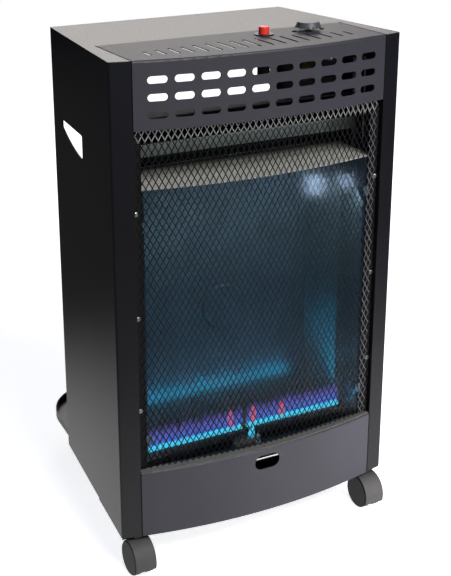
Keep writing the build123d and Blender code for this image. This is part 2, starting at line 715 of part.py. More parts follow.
with BuildPart() as mixing_tube:
    tube_start = -mixer_length / 2
    tube_end = mixer_length / 2
    rod_x(tube_start, tube_end, burner_y, mixer_z, mixer_radius)
    for side in (-1, 1):
        upright(side * riser_spacing / 2, burner_y, mixer_z, chamber_floor, riser_radius)
    # flared mouth that draws in air
    with BuildSketch(Plane.YZ.offset(tube_end)):
        with Locations((burner_y, mixer_z)):
            Circle(mixer_radius)
    extrude(amount=mixer_radius / 2, taper=-30)
    rod_x(tube_start + mixer_wall, tube_end, burner_y, mixer_z, mixer_radius - mixer_wall, Mode.SUBTRACT)
    with BuildSketch(Plane.YZ.offset(tube_end)):
        with Locations((burner_y, mixer_z)):
            Circle(mixer_radius - mixer_wall)
    extrude(amount=mixer_radius / 2, taper=-30, mode=Mode.SUBTRACT)
    for side in (-1, 1):
        upright(side * riser_spacing / 2, burner_y, mixer_z, chamber_floor, riser_radius - mixer_wall,
                Mode.SUBTRACT)
mixing_tube.part.label = "mixing_tube"
export_step(mixing_tube.part, "parts/mixing_tube.step")

with BuildPart() as injector_bracket:
    block(bracket_x, bracket_x + 2 * sheet, burner_y - mixer_radius, burner_y + mixer_radius,
          mixer_z - mixer_radius, chamber_floor - sheet)
    rod_x(bracket_x, bracket_x + 2 * sheet, burner_y, mixer_z, pipe_radius, Mode.SUBTRACT)
injector_bracket.part.label = "injector_bracket"
export_step(injector_bracket.part, "parts/injector_bracket.step")

nozzle_x = bracket_x + 2 * sheet
with BuildPart() as injector:
    with BuildSketch(Plane.YZ.offset(nozzle_x)):
        with Locations((burner_y, mixer_z)):
            RegularPolygon(nozzle_hex / 2, 6, major_radius=False)
    extrude(amount=nozzle_length)
    rod_x(bracket_x - 2 * mouth_gap, nozzle_x, burner_y, mixer_z, pipe_radius)
    rod_x(bracket_x - 2 * mouth_gap, bracket_x, burner_y, mixer_z, pipe_radius / 4, Mode.SUBTRACT)
injector.part.label = "injector"
export_step(injector.part, "parts/injector.step")


def start_plane(route):
    """Plane square to the first run of a tube's route."""
    return Plane(origin=route[0], z_dir=Vector(*route[1]) - Vector(*route[0]))


valve_port_z = body_top - valve_port_below
pipe_x = inner_half + 2 * pipe_radius
nozzle_end_x = nozzle_x + nozzle_length
valve_outlet_x = knob_x + valve_radius + 2 * valve_port_radius
gas_route = [(valve_outlet_x, control_y, valve_port_z), (pipe_x, control_y, valve_port_z),
             (pipe_x, control_y, mixer_z), (pipe_x, burner_y, mixer_z), (nozzle_end_x, burner_y, mixer_z)]
with BuildPart() as gas_pipe:
    with BuildLine():
        FilletPolyline(*gas_route, radius=pipe_bend)
    with BuildSketch(start_plane(gas_route)):
        Circle(pipe_radius)
    sweep()
gas_pipe.part.label = "gas_pipe"
export_step(gas_pipe.part, "parts/gas_pipe.step")

pilot_base_z = chamber_floor - 3 * pilot_radius
pilot_route_y = control_y - 3 * pipe_radius
pilot_pipe_x = pipe_x + pipe_radius + 2 * pilot_pipe_radius
pilot_run_z = mixer_z - 2 * pipe_radius
valve_pilot_z = valve_port_z - 3 * pipe_radius
pilot_route = [(knob_x + valve_radius, control_y, valve_pilot_z),
               (knob_x + 2 * valve_radius, control_y, valve_pilot_z),
               (knob_x + 2 * valve_radius, pilot_route_y, valve_pilot_z),
               (pilot_pipe_x, pilot_route_y, valve_pilot_z), (pilot_pipe_x, pilot_route_y, pilot_run_z),
               (pilot_pipe_x, pilot_y, pilot_run_z), (0, pilot_y, pilot_run_z), (0, pilot_y, pilot_base_z)]
with BuildPart() as pilot_pipe:
    with BuildLine():
        FilletPolyline(*pilot_route, radius=pilot_bend)
    with BuildSketch(start_plane(pilot_route)):
        Circle(pilot_pipe_radius)
    sweep()
pilot_pipe.part.label = "pilot_pipe"
export_step(pilot_pipe.part, "parts/pilot_pipe.step")

with BuildPart() as pilot_bracket:
    block(-1.5 * pilot_pitch, 1.5 * pilot_pitch, pilot_y - 1.5 * pilot_radius, pilot_y + 1.5 * pilot_radius,
          chamber_floor, chamber_floor + sheet)
    for number in (-1, 0, 1):
        upright(number * pilot_pitch, pilot_y, chamber_floor, chamber_floor + sheet, pilot_radius, Mode.SUBTRACT)
pilot_bracket.part.label = "pilot_bracket"
export_step(pilot_bracket.part, "parts/pilot_bracket.step")

with BuildPart() as pilot_burner:
    upright(0, pilot_y, pilot_base_z, chamber_floor + 3 * pilot_radius, pilot_radius)
    fillet(pilot_burner.edges().sort_by(Axis.Z)[-1], pilot_radius / 3)
    # gas outlet towards the burner
    rod_y(0, pilot_y, pilot_y + 2 * pilot_radius, chamber_floor + 2 * pilot_radius, pilot_radius / 2,
          Mode.SUBTRACT)
pilot_burner.part.label = "pilot_burner"
export_step(pilot_burner.part, "parts/pilot_burner.step")

with BuildPart() as thermocouple:
    upright(-pilot_pitch, pilot_y, pilot_base_z, chamber_floor + 2 * sheet, pilot_radius)
    upright(-pilot_pitch, pilot_y, chamber_floor + 2 * sheet, burner_top, probe_radius)
    fillet(thermocouple.edges().sort_by(Axis.Z)[-1], probe_radius / 2)
thermocouple.part.label = "thermocouple"
export_step(thermocouple.part, "parts/thermocouple.step")

with BuildPart() as spark_electrode:
    upright(pilot_pitch, pilot_y, pilot_base_z, chamber_floor + 2 * sheet, pilot_radius)
    upright(pilot_pitch, pilot_y, chamber_floor + 2 * sheet, chamber_floor + burner_shoulder, electrode_radius)
    upright(pilot_pitch, pilot_y, chamber_floor + burner_shoulder, burner_top, electrode_radius / 3)
spark_electrode.part.label = "spark_electrode"
export_step(spark_electrode.part, "parts/spark_electrode.step")

# ==== controls ====================================================================

valve_top = body_top - sheet
valve_bottom = valve_top - valve_flange - valve_height
with BuildPart() as gas_valve:
    with BuildSketch(Plane.XY.offset(valve_top)):
        with Locations((knob_x, control_y)):
            SlotOverall(valve_screw_spacing + 4 * screw_head_radius, 4 * screw_head_radius)
    extrude(amount=-valve_flange)
    upright(knob_x, control_y, valve_bottom, valve_top - valve_flange, valve_radius)
    upright(knob_x, control_y, valve_bottom - valve_radius, valve_bottom, valve_radius / 2)
    rod_x(knob_x, valve_outlet_x, control_y, valve_port_z, valve_port_radius)
    rod_y(knob_x, control_y, seam_y, valve_port_z, valve_port_radius)
    upright(knob_x, control_y, body_top - knob_height - valve_flange * 4, valve_top,
            spindle_radius + running_clearance, Mode.SUBTRACT)
    for side in (-1, 1):
        upright(knob_x + side * valve_screw_spacing / 2, control_y, valve_top - valve_flange, valve_top,
                screw_radius, Mode.SUBTRACT)
gas_valve.part.label = "gas_valve"
export_step(gas_valve.part, "parts/gas_valve.step")

lead_x = side_x(chamber_rear_y - 5 * pipe_radius, sheet) - 2 * lead_radius
lead_y = chamber_rear_y - 5 * pipe_radius
lead_top_z = valve_bottom - valve_radius - 2 * pipe_radius
lead_run_z = mixer_z - mixer_radius - 2 * lead_radius
lead_low_y = pilot_y + 2 * pipe_radius
lead_route = [(knob_x, control_y, valve_bottom - valve_radius), (knob_x, control_y, lead_top_z),
              (knob_x, lead_y, lead_top_z), (lead_x, lead_y, lead_top_z), (lead_x, lead_y, lead_run_z),
              (lead_x, lead_low_y, lead_run_z), (-pilot_pitch, lead_low_y, lead_run_z),
              (-pilot_pitch, pilot_y, lead_run_z), (-pilot_pitch, pilot_y, pilot_base_z)]
with BuildPart() as thermocouple_lead:
    with BuildLine():
        FilletPolyline(*lead_route, radius=lead_bend)
    with BuildSketch(start_plane(lead_route)):
        Circle(lead_radius)
    sweep()
thermocouple_lead.part.label = "thermocouple_lead"
export_step(thermocouple_lead.part, "parts/thermocouple_lead.step")

with BuildPart() as valve_screws:
    for side in (-1, 1):
        screw_x = knob_x + side * valve_screw_spacing / 2
        upright(screw_x, control_y, body_top, body_top + screw_head_height, screw_head_radius)
        upright(screw_x, control_y, body_top - sheet - valve_flange, body_top, screw_radius)
    fillet(valve_screws.edges().group_by(Axis.Z)[-1], screw_head_height / 2)
valve_screws.part.label = "valve_screws"
export_step(valve_screws.part, "parts/valve_screws.step")

with BuildPart() as hose_spigot:
    with BuildSketch(Plane.XZ.offset(-seam_y)):
        with Locations((knob_x, valve_port_z)):
            RegularPolygon(spigot_hex / 2, 6, major_radius=False)
    extrude(amount=-spigot_collar)
    rod_y(knob_x, seam_y + spigot_collar, seam_y + spigot_collar + spigot_length, valve_port_z, spigot_radius)
    rod_y(knob_x, seam_y, seam_y + spigot_collar + spigot_length, valve_port_z, spigot_radius / 2, Mode.SUBTRACT)
hose_spigot.part.label = "hose_spigot"
export_step(hose_spigot.part, "parts/hose_spigot.step")

knob_bottom = body_top + knob_lift
knob_top = knob_bottom + knob_height
spindle_top = knob_top - spindle_radius
with BuildPart() as valve_spindle:
    spindle_bottom = body_top - knob_height - valve_flange * 2
    upright(knob_x, control_y, spindle_bottom, spindle_top, spindle_radius)
valve_spindle.part.label = "valve_spindle"
export_step(valve_spindle.part, "parts/valve_spindle.step")

with BuildPart() as control_knob:
    with BuildSketch(Plane.XY.offset(knob_bottom)):
        with Locations((knob_x, control_y)):
            Circle(knob_radius)
    taper_angle = degrees(atan((knob_radius - knob_top_radius) / knob_height))
    extrude(amount=knob_height, taper=taper_angle)
    fillet(control_knob.edges().sort_by(Axis.Z)[-1], 1)
    # flutes round the skirt
    with BuildSketch(Plane.XY.offset(knob_bottom)):
        with Locations((knob_x, control_y)):
            with PolarLocations(knob_radius, knob_flutes):
                Circle(flute_radius)
    extrude(amount=knob_height, taper=0, mode=Mode.SUBTRACT)
    # the notch on the left is the pointer
    block(knob_x - knob_radius, knob_x - knob_radius + pointer_depth, control_y - pointer_width / 2,
          control_y + pointer_width / 2, knob_bottom, knob_top, Mode.SUBTRACT)
    upright(knob_x, control_y, knob_bottom, spindle_top + sheet, spindle_radius + running_clearance,
            Mode.SUBTRACT)
control_knob.part.label = "control_knob"
export_step(control_knob.part, "parts/control_knob.step")

button_top = body_top + button_rise
button_bottom = button_top - button_length
button_bore = button_radius + button_clearance
with BuildPart() as igniter_body:
    upright(button_x, control_y, body_top - igniter_length, body_top, igniter_radius)
    upright(button_x, control_y, body_top - 3 * sheet, body_top - sheet, igniter_radius + 2 * sheet)
    upright(button_x, control_y, button_bottom - button_travel - sheet, body_top, button_bore, Mode.SUBTRACT)
igniter_body.part.label = "igniter_body"
export_step(igniter_body.part, "parts/igniter_body.step")

with BuildPart() as igniter_bezel:
    upright(button_x, control_y, body_top, body_top + bezel_height, bezel_radius)
    upright(button_x, control_y, body_top, body_top + bezel_height, button_bore, Mode.SUBTRACT)
    fillet(igniter_bezel.edges().group_by(Axis.Z)[-1], bezel_height / 3)
igniter_bezel.part.label = "igniter_bezel"
export_step(igniter_bezel.part, "parts/igniter_bezel.step")

with BuildPart() as igniter_button:
    upright(button_x, control_y, button_bottom, button_top, button_radius)
    fillet(igniter_button.edges().sort_by(Axis.Z)[-1], button_radius / 4)
igniter_button.part.label = "igniter_button"
export_step(igniter_button.part, "parts/igniter_button.step")

# ==== casters =====================================================================

caster_front_x = half_front - caster_front_inset
caster_rear_x = half_rear - caster_rear_inset
caster_places = {
    "front_left": (-caster_front_x, corner_y + caster_front_setback),
    "front_right": (caster_front_x, corner_y + caster_front_setback),
    "rear_left": (-caster_rear_x, tray_rear_y - caster_rear_setback),
    "rear_right": (caster_rear_x, tray_rear_y - caster_rear_setback),
}
axle_z = wheel_radius
hood_half = web_width / 2 + wheel_gap + wheel_width
stem_bottom = axle_z + 2 * axle_radius
boss_top = body_bottom - mount_plate - 2 * wheel_gap


def hood_point(axle_y, radius, angle):
    """Point of the hood's side view at an angle up from straight ahead."""
    return (axle_y - radius * cos(radians(angle)), axle_z + radius * sin(radians(angle)))


def hood_sector(axle_y, radius):
    """Side view of the hood as a sector of a disc."""
    middle_angle = (hood_front_angle + hood_rear_angle) / 2
    with BuildSketch() as sector:
        with BuildLine():
            ThreePointArc(hood_point(axle_y, radius, hood_front_angle),
                          hood_point(axle_y, radius, middle_angle),
                          hood_point(axle_y, radius, hood_rear_angle))
            Polyline(hood_point(axle_y, radius, hood_rear_angle), (axle_y, axle_z),
                     hood_point(axle_y, radius, hood_front_angle))
        make_face()
    return sector.sketch


for place, (stem_x, stem_y) in caster_places.items():
    axle_y = stem_y - caster_trail

    with BuildPart() as caster_stem:
        upright(stem_x, stem_y, body_bottom - mount_plate, body_bottom, mount_plate_radius)
        upright(stem_x, stem_y, stem_bottom, body_bottom - mount_plate, stem_radius)
    caster_stem.part.label = f"caster_stem_{place}"
    export_step(caster_stem.part, f"parts/caster_stem_{place}.step")

    with BuildPart() as caster_hood:
        with BuildSketch(Plane.YZ.offset(stem_x - hood_half)):
            add(hood_sector(axle_y, hood_radius))
        extrude(amount=2 * hood_half)
        # room for the wheels each side of the middle web
        rod_x(stem_x - hood_half, stem_x - web_width / 2, axle_y, axle_z, hood_radius - hood_wall, Mode.SUBTRACT)
        rod_x(stem_x + web_width / 2, stem_x + hood_half, axle_y, axle_z, hood_radius - hood_wall, Mode.SUBTRACT)
        with BuildSketch(Plane.YZ.offset(stem_x - web_width / 2)):
            with Locations((axle_y, axle_z)):
                Circle(2 * axle_radius)
            with BuildLine():
                Polyline((axle_y, stem_bottom - 2 * axle_radius), (stem_y + web_width / 2, stem_bottom),
                         (stem_y + web_width / 2, boss_top), (axle_y, boss_top), close=True)
            make_face()
        extrude(amount=web_width)
        upright(stem_x, stem_y, axle_z + hood_radius - hood_wall, boss_top, stem_boss_radius)
        upright(stem_x, stem_y, stem_bottom - axle_radius, boss_top, stem_radius + running_clearance,
                Mode.SUBTRACT)
        rod_x(stem_x - web_width / 2, stem_x + web_width / 2, axle_y, axle_z, axle_radius, Mode.SUBTRACT)
    caster_hood.part.label = f"caster_hood_{place}"
    export_step(caster_hood.part, f"parts/caster_hood_{place}.step")

    axle_half = hood_half - tread_wall
    with BuildPart() as caster_axle:
        rod_x(stem_x - axle_half, stem_x + axle_half, axle_y, axle_z, axle_radius)
    caster_axle.part.label = f"caster_axle_{place}"
    export_step(caster_axle.part, f"parts/caster_axle_{place}.step")

    for side, side_name in ((-1, "left"), (1, "right")):
        inner_x = stem_x + side * (web_width / 2 + wheel_gap)
        outer_x = inner_x + side * wheel_width
        bore_x = stem_x + side * (axle_half + wheel_gap)
        cup_x = outer_x - side * tread_wall
        with BuildPart() as caster_wheel:
            rod_x(inner_x, outer_x, axle_y, axle_z, wheel_radius)
            chamfer(caster_wheel.edges().group_by(Axis.X)[0 if side < 0 else -1], wheel_width / 6)
            rod_x(inner_x, cup_x, axle_y, axle_z, wheel_radius - tread_wall, Mode.SUBTRACT)
            rod_x(inner_x, cup_x, axle_y, axle_z, 2 * axle_radius)
            rod_x(inner_x, bore_x, axle_y, axle_z, axle_radius + running_clearance, Mode.SUBTRACT)
        caster_wheel.part.label = f"caster_wheel_{place}_{side_name}"
        export_step(caster_wheel.part, f"parts/caster_wheel_{place}_{side_name}.step")
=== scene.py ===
# Portable gas cabinet heater: finishes, mesh guard, trim, screws, flames, light and camera
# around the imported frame. Metres, +Z up, the bowed front faces -Y.
import json
import math

import bmesh
import bpy
from mathutils import Matrix, Vector


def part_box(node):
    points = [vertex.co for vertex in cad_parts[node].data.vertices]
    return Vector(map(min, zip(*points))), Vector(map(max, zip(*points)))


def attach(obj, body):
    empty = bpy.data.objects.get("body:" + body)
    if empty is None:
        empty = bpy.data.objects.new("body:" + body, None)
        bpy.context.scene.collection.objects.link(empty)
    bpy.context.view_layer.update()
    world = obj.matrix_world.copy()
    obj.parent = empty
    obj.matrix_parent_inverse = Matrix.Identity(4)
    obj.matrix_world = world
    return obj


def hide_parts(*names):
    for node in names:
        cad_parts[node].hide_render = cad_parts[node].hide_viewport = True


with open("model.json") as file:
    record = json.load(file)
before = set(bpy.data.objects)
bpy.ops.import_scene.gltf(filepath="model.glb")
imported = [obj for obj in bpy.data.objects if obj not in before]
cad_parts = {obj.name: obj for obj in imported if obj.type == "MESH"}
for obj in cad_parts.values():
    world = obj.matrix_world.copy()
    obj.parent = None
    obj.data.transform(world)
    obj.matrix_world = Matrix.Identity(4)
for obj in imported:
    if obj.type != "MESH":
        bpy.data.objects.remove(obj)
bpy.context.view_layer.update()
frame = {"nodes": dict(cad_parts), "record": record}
nodes = frame["nodes"]
mm = 0.001

# the bow of the front panels, which the guard and the joint strips follow
bow = {
    "halfWidth": 216 * mm,      # middle to front corner
    "rise": 28 * mm,            # middle of the front ahead of the corners
    "frontY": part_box("control_panel")[0].y,
}
bow["radius"] = (bow["halfWidth"] ** 2 + bow["rise"] ** 2) / (2 * bow["rise"])
bow["centreY"] = bow["frontY"] + bow["radius"]


def bowY(x, inset):
    return bow["centreY"] - math.sqrt((bow["radius"] - inset) ** 2 - x * x)


# small tools

def toLinear(hexColour):
    channels = [int(hexColour[i:i + 2], 16) / 255 for i in (1, 3, 5)]
    return [c / 12.92 if c <= 0.04045 else ((c + 0.055) / 1.055) ** 2.4 for c in channels] + [1.0]


def perMetre(millimetres):
    return 1 / (millimetres * mm)  # texture scale for a pattern of that size


def addNode(tree, kind, settings=None, inputs=None):
    node = tree.nodes.new(kind)
    for key, value in (settings or {}).items():
        setattr(node, key, value)
    for key, value in (inputs or {}).items():
        if isinstance(value, bpy.types.NodeSocket):
            tree.links.new(value, node.inputs[key])
        else:
            node.inputs[key].default_value = value
    return node


def newMaterial(name):
    material = bpy.data.materials.new(name)
    material.use_nodes = True
    material.node_tree.nodes.clear()
    return material, material.node_tree


def newObject(name, mesh, material=None):
    piece = bpy.data.objects.new(name, mesh)
    bpy.context.scene.collection.objects.link(piece)
    if material:
        mesh.materials.append(material)
    return piece


def meshFrom(name, build):
    shape = bmesh.new()
    build(shape)
    bmesh.ops.recalc_face_normals(shape, faces=shape.faces)
    mesh = bpy.data.meshes.new(name)
    shape.to_mesh(mesh)
    shape.free()
    return mesh


def pointMesh(name, places):
    mesh = bpy.data.meshes.new(name)
    mesh.from_pydata(places, [], [])
    return mesh


def addBox(shape, low, high):
    size = Vector(high) - Vector(low)
    middle = (Vector(high) + Vector(low)) / 2
    place = Matrix.Translation(middle) @ Matrix.Diagonal((*size, 1))
    bmesh.ops.create_cube(shape, size=1, matrix=place)


def turnedBody(shape, profile, sides):
    # a closed body turned round Z from (radius, height) pairs, bottom first
    rings = []
    for radius, height in profile:
        rings.append([shape.verts.new((radius * math.cos(math.tau * i / sides),
                                       radius * math.sin(math.tau * i / sides), height))
                      for i in range(sides)])
    for lower, upper in zip(rings, rings[1:]):
        for i in range(sides):
            j = (i + 1) % sides
            shape.faces.new((lower[i], lower[j], upper[j], upper[i]))
    shape.faces.new(rings[0][::-1])
    shape.faces.new(rings[-1])


def newTree(name, sockets):
    # an empty geometry tree: geometry in and out, and one named input for each size
    tree = bpy.data.node_groups.new(name, "GeometryNodeTree")
    tree.interface.new_socket("Geometry", in_out="INPUT", socket_type="NodeSocketGeometry")
    for label, kind in sockets.items():
        tree.interface.new_socket(label, in_out="INPUT", socket_type="NodeSocket" + kind)
    tree.interface.new_socket("Geometry", in_out="OUTPUT", socket_type="NodeSocketGeometry")
    return tree, addNode(tree, "NodeGroupInput").outputs


def endTree(tree, copies, material):
    real = addNode(tree, "GeometryNodeRealizeInstances", inputs={0: copies})
    coated = addNode(tree, "GeometryNodeSetMaterial", inputs={
        "Geometry": real.outputs[0], "Material": material})
    addNode(tree, "NodeGroupOutput", inputs={0: coated.outputs[0]})


def grow(name, seedMesh, tree, values):
    # runs a tree on a mesh and keeps the result as a plain mesh of its own
    seed = newObject(name + "Seed", seedMesh)
    modifier = seed.modifiers.new(name, "NODES")
    modifier.node_group = tree
    for item in tree.interface.items_tree:
        if item.item_type == "SOCKET" and item.in_out == "INPUT" and item.name in values:
            modifier[item.identifier] = values[item.name]
    seed.update_tag()
    bpy.context.view_layer.update()
    evaluated = seed.evaluated_get(bpy.context.evaluated_depsgraph_get())
    mesh = bpy.data.meshes.new_from_object(evaluated)
    mesh.name = name
    seed.modifiers.clear()
    bpy.data.objects.remove(seed)
    return newObject(name, mesh)


def fasten(piece, slot, *replaced):
    # every piece made here is fixed to the cabinet
    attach(piece, "root")
    if replaced:
        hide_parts(*replaced)


# finishes

# the Mix node's sockets for colours
mixShare, mixFirst, mixSecond, mixResult = 0, 6, 7, 2

# what the finishes share; each gives its two tones, the size of its patches and of its grain in
# mm, the depth of that grain in mm, and the range of its roughness
coat = {
    "patchDetail": 3.0,
    "patchRoughness": 0.55,
    "grainDetail": 2.0,
    "grainRoughness": 0.5,
    "grainRange": (0.3, 0.7),   # part of the grain's noise that the roughness follows
    "relief": 0.3,
}


def fillRamp(node, stops):
    # stops: (position, linear colour with alpha)
    ramp = node.color_ramp
    while len(ramp.elements) < len(stops):
        ramp.elements.new(1.0)
    for element, (position, colour) in zip(ramp.elements, stops):
        element.position = position
        element.color = colour


def shaded(tree, source, axis, stops, tone):
    # painted shade and highlight by place, or a darker tone by the way a face turns: each stop is
    # a place in metres, or a share of the normal, along the axis, and a hex colour that the tone
    # is multiplied by
    low, high = stops[0][0], stops[-1][0]
    place = addNode(tree, "ShaderNodeTexCoord").outputs[source]
    along = addNode(tree, "ShaderNodeSeparateXYZ", inputs={0: place}).outputs[axis]
    share = addNode(tree, "ShaderNodeMapRange", inputs={
        "Value": along, "From Min": low, "From Max": high})
    ramp = addNode(tree, "ShaderNodeValToRGB", inputs={0: share.outputs[0]})
    fillRamp(ramp, [((at - low) / (high - low), toLinear(shade)) for at, shade in stops])
    return addNode(tree, "ShaderNodeMix", {"data_type": "RGBA", "blend_type": "MULTIPLY"}, {
        mixShare: 1.0, mixFirst: tone, mixSecond: ramp.outputs["Color"]}).outputs[mixResult]


def finish(name, look):
    # one surface: two close tones in soft patches, a roughness that varies, and a fine grain
    material, tree = newMaterial(name)
    place = addNode(tree, "ShaderNodeTexCoord").outputs["Object"]
    along = addNode(tree, "ShaderNodeMapping", inputs={
        "Vector": place, "Scale": look.get("stretch", (1, 1, 1))})
    patches = addNode(tree, "ShaderNodeTexNoise", inputs={
        "Vector": place, "Scale": perMetre(look["patch"]),
        "Detail": coat["patchDetail"], "Roughness": coat["patchRoughness"]})
    grain = addNode(tree, "ShaderNodeTexNoise", inputs={
        "Vector": along.outputs[0], "Scale": perMetre(look["grain"]),
        "Detail": coat["grainDetail"], "Roughness": coat["grainRoughness"]})
    tone = addNode(tree, "ShaderNodeMix", {"data_type": "RGBA"}, {
        mixShare: patches.outputs["Fac"], mixFirst: toLinear(look["dark"]),
        mixSecond: toLinear(look["light"])}).outputs[mixResult]
    # painted shade and highlight from the look's shades, multiplied into the tone
    for source, axis, stops in look.get("shades", ()):
        tone = shaded(tree, source, axis, stops, tone)
    smooth, rough = look["roughness"]
    low, high = coat["grainRange"]
    gloss = addNode(tree, "ShaderNodeMapRange", inputs={
        "Value": grain.outputs["Fac"],
        "From Min": low, "From Max": high, "To Min": smooth, "To Max": rough})
    relief = addNode(tree, "ShaderNodeBump", inputs={
        "Height": grain.outputs["Fac"],
        "Strength": coat["relief"], "Distance": look["depth"] * mm})
    shader = addNode(tree, "ShaderNodeBsdfPrincipled", inputs={
        "Base Color": tone, "Roughness": gloss.outputs[0], "Normal": relief.outputs[0],
        **look.get("sockets", {})})
    addNode(tree, "ShaderNodeOutputMaterial", inputs={"Surface": shader.outputs[0]})
    return material


finishes = {
    # polyester powder coat on pressed steel, sprayed and baked: satin, with a fine orange peel
    "black_powder_coat": finish("blackPowderCoat", {
        "dark": "#0b0a0d", "light": "#100f13", "patch": 60, "grain": 1.3, "depth": 0.03,
        "roughness": (0.33, 0.42)}),
    # the same kind of coat in anthracite, drier, which looks purple-grey in the light
    "anthracite_powder_coat": finish("anthracitePowderCoat", {
        "dark": "#2b2a2f", "light": "#323036", "patch": 70, "grain": 1.1, "depth": 0.04,
        "roughness": (0.48, 0.58)}),
    # hot-dip aluminised sheet, blued and dulled by heat
    "aluminised_steel": finish("aluminisedSteel", {
        "dark": "#3c444c", "light": "#5a6268", "patch": 35, "grain": 2.2, "depth": 0.05,
        "roughness": (0.2, 0.32), "sockets": {"Metallic": 1.0}}),
    # heat-proof enamel on the visor: pale grey, dull, with painted shade darkening it towards the
    # flue outlet
    "visor_steel": finish("visorEnamel", {
        "dark": "#adaca4", "light": "#bdbcb3", "patch": 40, "grain": 0.9, "depth": 0.03,
        "roughness": (0.45, 0.6), "shades": [
            ("Object", "Y", ((-0.165, "#ffffff"), (-0.135, "#b8b8b4"), (-0.118, "#50504e")))]}),
    # stainless burner tube, browned and greyed by the flames
    "burner_steel": finish("burnerSteel", {
        "dark": "#26262a", "light": "#3b3a3c", "patch": 18, "grain": 0.8, "depth": 0.02,
        "roughness": (0.35, 0.55), "sockets": {"Metallic": 1.0}}),
    # turned brass, slightly dulled
    "brass": finish("turnedBrass", {
        "dark": "#806238", "light": "#a98c56", "patch": 9, "grain": 0.4, "depth": 0.01,
        "stretch": (1, 1, 6), "roughness": (0.22, 0.36), "sockets": {"Metallic": 1.0}}),
    # drawn aluminium tube with faint draw lines
    "aluminium_tube": finish("drawnAluminium", {
        "dark": "#a9abac", "light": "#c2c4c5", "patch": 14, "grain": 0.5, "depth": 0.01,
        "stretch": (1, 1, 0.1), "roughness": (0.28, 0.42), "sockets": {"Metallic": 1.0}}),
    # drawn copper, warm and slightly tarnished
    "copper": finish("drawnCopper", {
        "dark": "#96583a", "light": "#bb7650", "patch": 11, "grain": 0.5, "depth": 0.01,
        "roughness": (0.3, 0.45), "sockets": {"Metallic": 1.0}}),
    # glazed alumina insulator: white, wet-looking
    "glazed_ceramic": finish("glazedCeramic", {
        "dark": "#dcd9d0", "light": "#ece9e2", "patch": 8, "grain": 1.2, "depth": 0.01,
        "roughness": (0.12, 0.2)}),
    # bright zinc plating with a faint crystalline mottle
    "zinc_steel": finish("zincPlate", {
        "dark": "#9c9d9b", "light": "#c4c5c2", "patch": 3, "grain": 0.5, "depth": 0.01,
        "roughness": (0.25, 0.4), "sockets": {"Metallic": 1.0}}),
    # chemically blackened steel screw: dull black with an oily sheen
    "black_oxide_steel": finish("blackOxide", {
        "dark": "#141413", "light": "#232220", "patch": 4, "grain": 0.5, "depth": 0.01,
        "roughness": (0.32, 0.48), "sockets": {"Metallic": 0.6}}),
    # compression-moulded phenolic knob: grey, semi-matt
    "knob_plastic": finish("phenolicGrey", {
        "dark": "#3f4042", "light": "#494a4d", "patch": 12, "grain": 0.6, "depth": 0.015,
        "roughness": (0.38, 0.5)}),
    # injection-moulded nylon, black with a soft shine
    "black_plastic": finish("nylonBlack", {
        "dark": "#0a0a0b", "light": "#101011", "patch": 15, "grain": 0.7, "depth": 0.01,
        "roughness": (0.34, 0.46)}),
    # glossy moulded ABS button
    "red_plastic": finish("absRed", {
        "dark": "#dc342e", "light": "#ea4038", "patch": 10, "grain": 0.9, "depth": 0.004,
        "roughness": (0.16, 0.24)}),
    # nylon from a spark-eroded mould: grey with a dry, finely lined skin, flat cheeks darker
    "caster_plastic": finish("casterNylon", {
        "dark": "#3b3a39", "light": "#494745", "patch": 18, "grain": 1.1, "depth": 0.12,
        "stretch": (1, 0.12, 0.12), "roughness": (0.55, 0.68),
        "sockets": {"Specular IOR Level": 0.3}, "shades": [
            ("Normal", "X", ((-1.0, "#666666"), (-0.92, "#666666"), (-0.88, "#ffffff"),
                             (0.88, "#ffffff"), (0.92, "#666666"), (1.0, "#666666")))]}),
}

# the chamber's own sheet: aluminised steel blued by the fire, still a blurred mirror
heatBluedSteel = finish("heatBluedSteel", {
    "dark": "#3c4d56", "light": "#576b75", "patch": 45, "grain": 2.2, "depth": 0.04,
    "roughness": (0.2, 0.28), "sockets": {"Metallic": 0.45}})

# the shield behind it: aluminised sheet gone dull and dark
dullShield = finish("dullShield", {
    "dark": "#33373a", "light": "#44484b", "patch": 40, "grain": 1.8, "depth": 0.05,
    "roughness": (0.55, 0.7), "sockets": {"Metallic": 0.7}})

# the guard is dipped, not sprayed: a thinner, drier black; along its top, where it is
# pushed under the control panel, its strands are painted pale as a highlight
dippedBlack = finish("dippedBlack", {
    "dark": "#6c6c69", "light": "#8a8a85", "patch": 40, "grain": 1.0, "depth": 0.02,
    "roughness": (0.42, 0.54), "sockets": {"Specular IOR Level": 0.35}, "shades": [
        ("Object", "Z", ((0.6, "#161617"), (0.623, "#1c1c1d"), (0.6265, "#ffffff"),
                         (0.65, "#ffffff")))]})

# at its right end, beside the glass, the strands are painted a lighter grey as a glint, strand by
# strand
strandGlintGrey = finish("strandGlintGrey", {
    "dark": "#3a3a3b", "light": "#525253", "patch": 8, "grain": 0.9, "depth": 0.02,
    "roughness": (0.4, 0.52), "sockets": {"Specular IOR Level": 0.4}})

# the strips that close its ends keep a dry, scorched black
scorchedBlack = finish("scorchedBlack", {
    "dark": "#060606", "light": "#0a0a0a", "patch": 20, "grain": 0.8, "depth": 0.02,
    "roughness": (0.62, 0.78), "sockets": {"Specular IOR Level": 0.2}})

# its foot is sheet in a dull pale grey: painted sheen, for the light that its upward face catches
# over the ledge
footSheenGrey = finish("footSheenGrey", {
    "dark": "#57574f", "light": "#68685f", "patch": 6, "grain": 1.2, "depth": 0.04,
    "roughness": (0.5, 0.62), "sockets": {"Metallic": 0.2}})

# the caster's tyre is a darker, smoother nylon than its hood
tyreNylon = finish("tyreNylon", {
    "dark": "#1a1a1a", "light": "#232322", "patch": 15, "grain": 0.8, "depth": 0.03,
    "roughness": (0.5, 0.62), "sockets": {"Specular IOR Level": 0.3}})
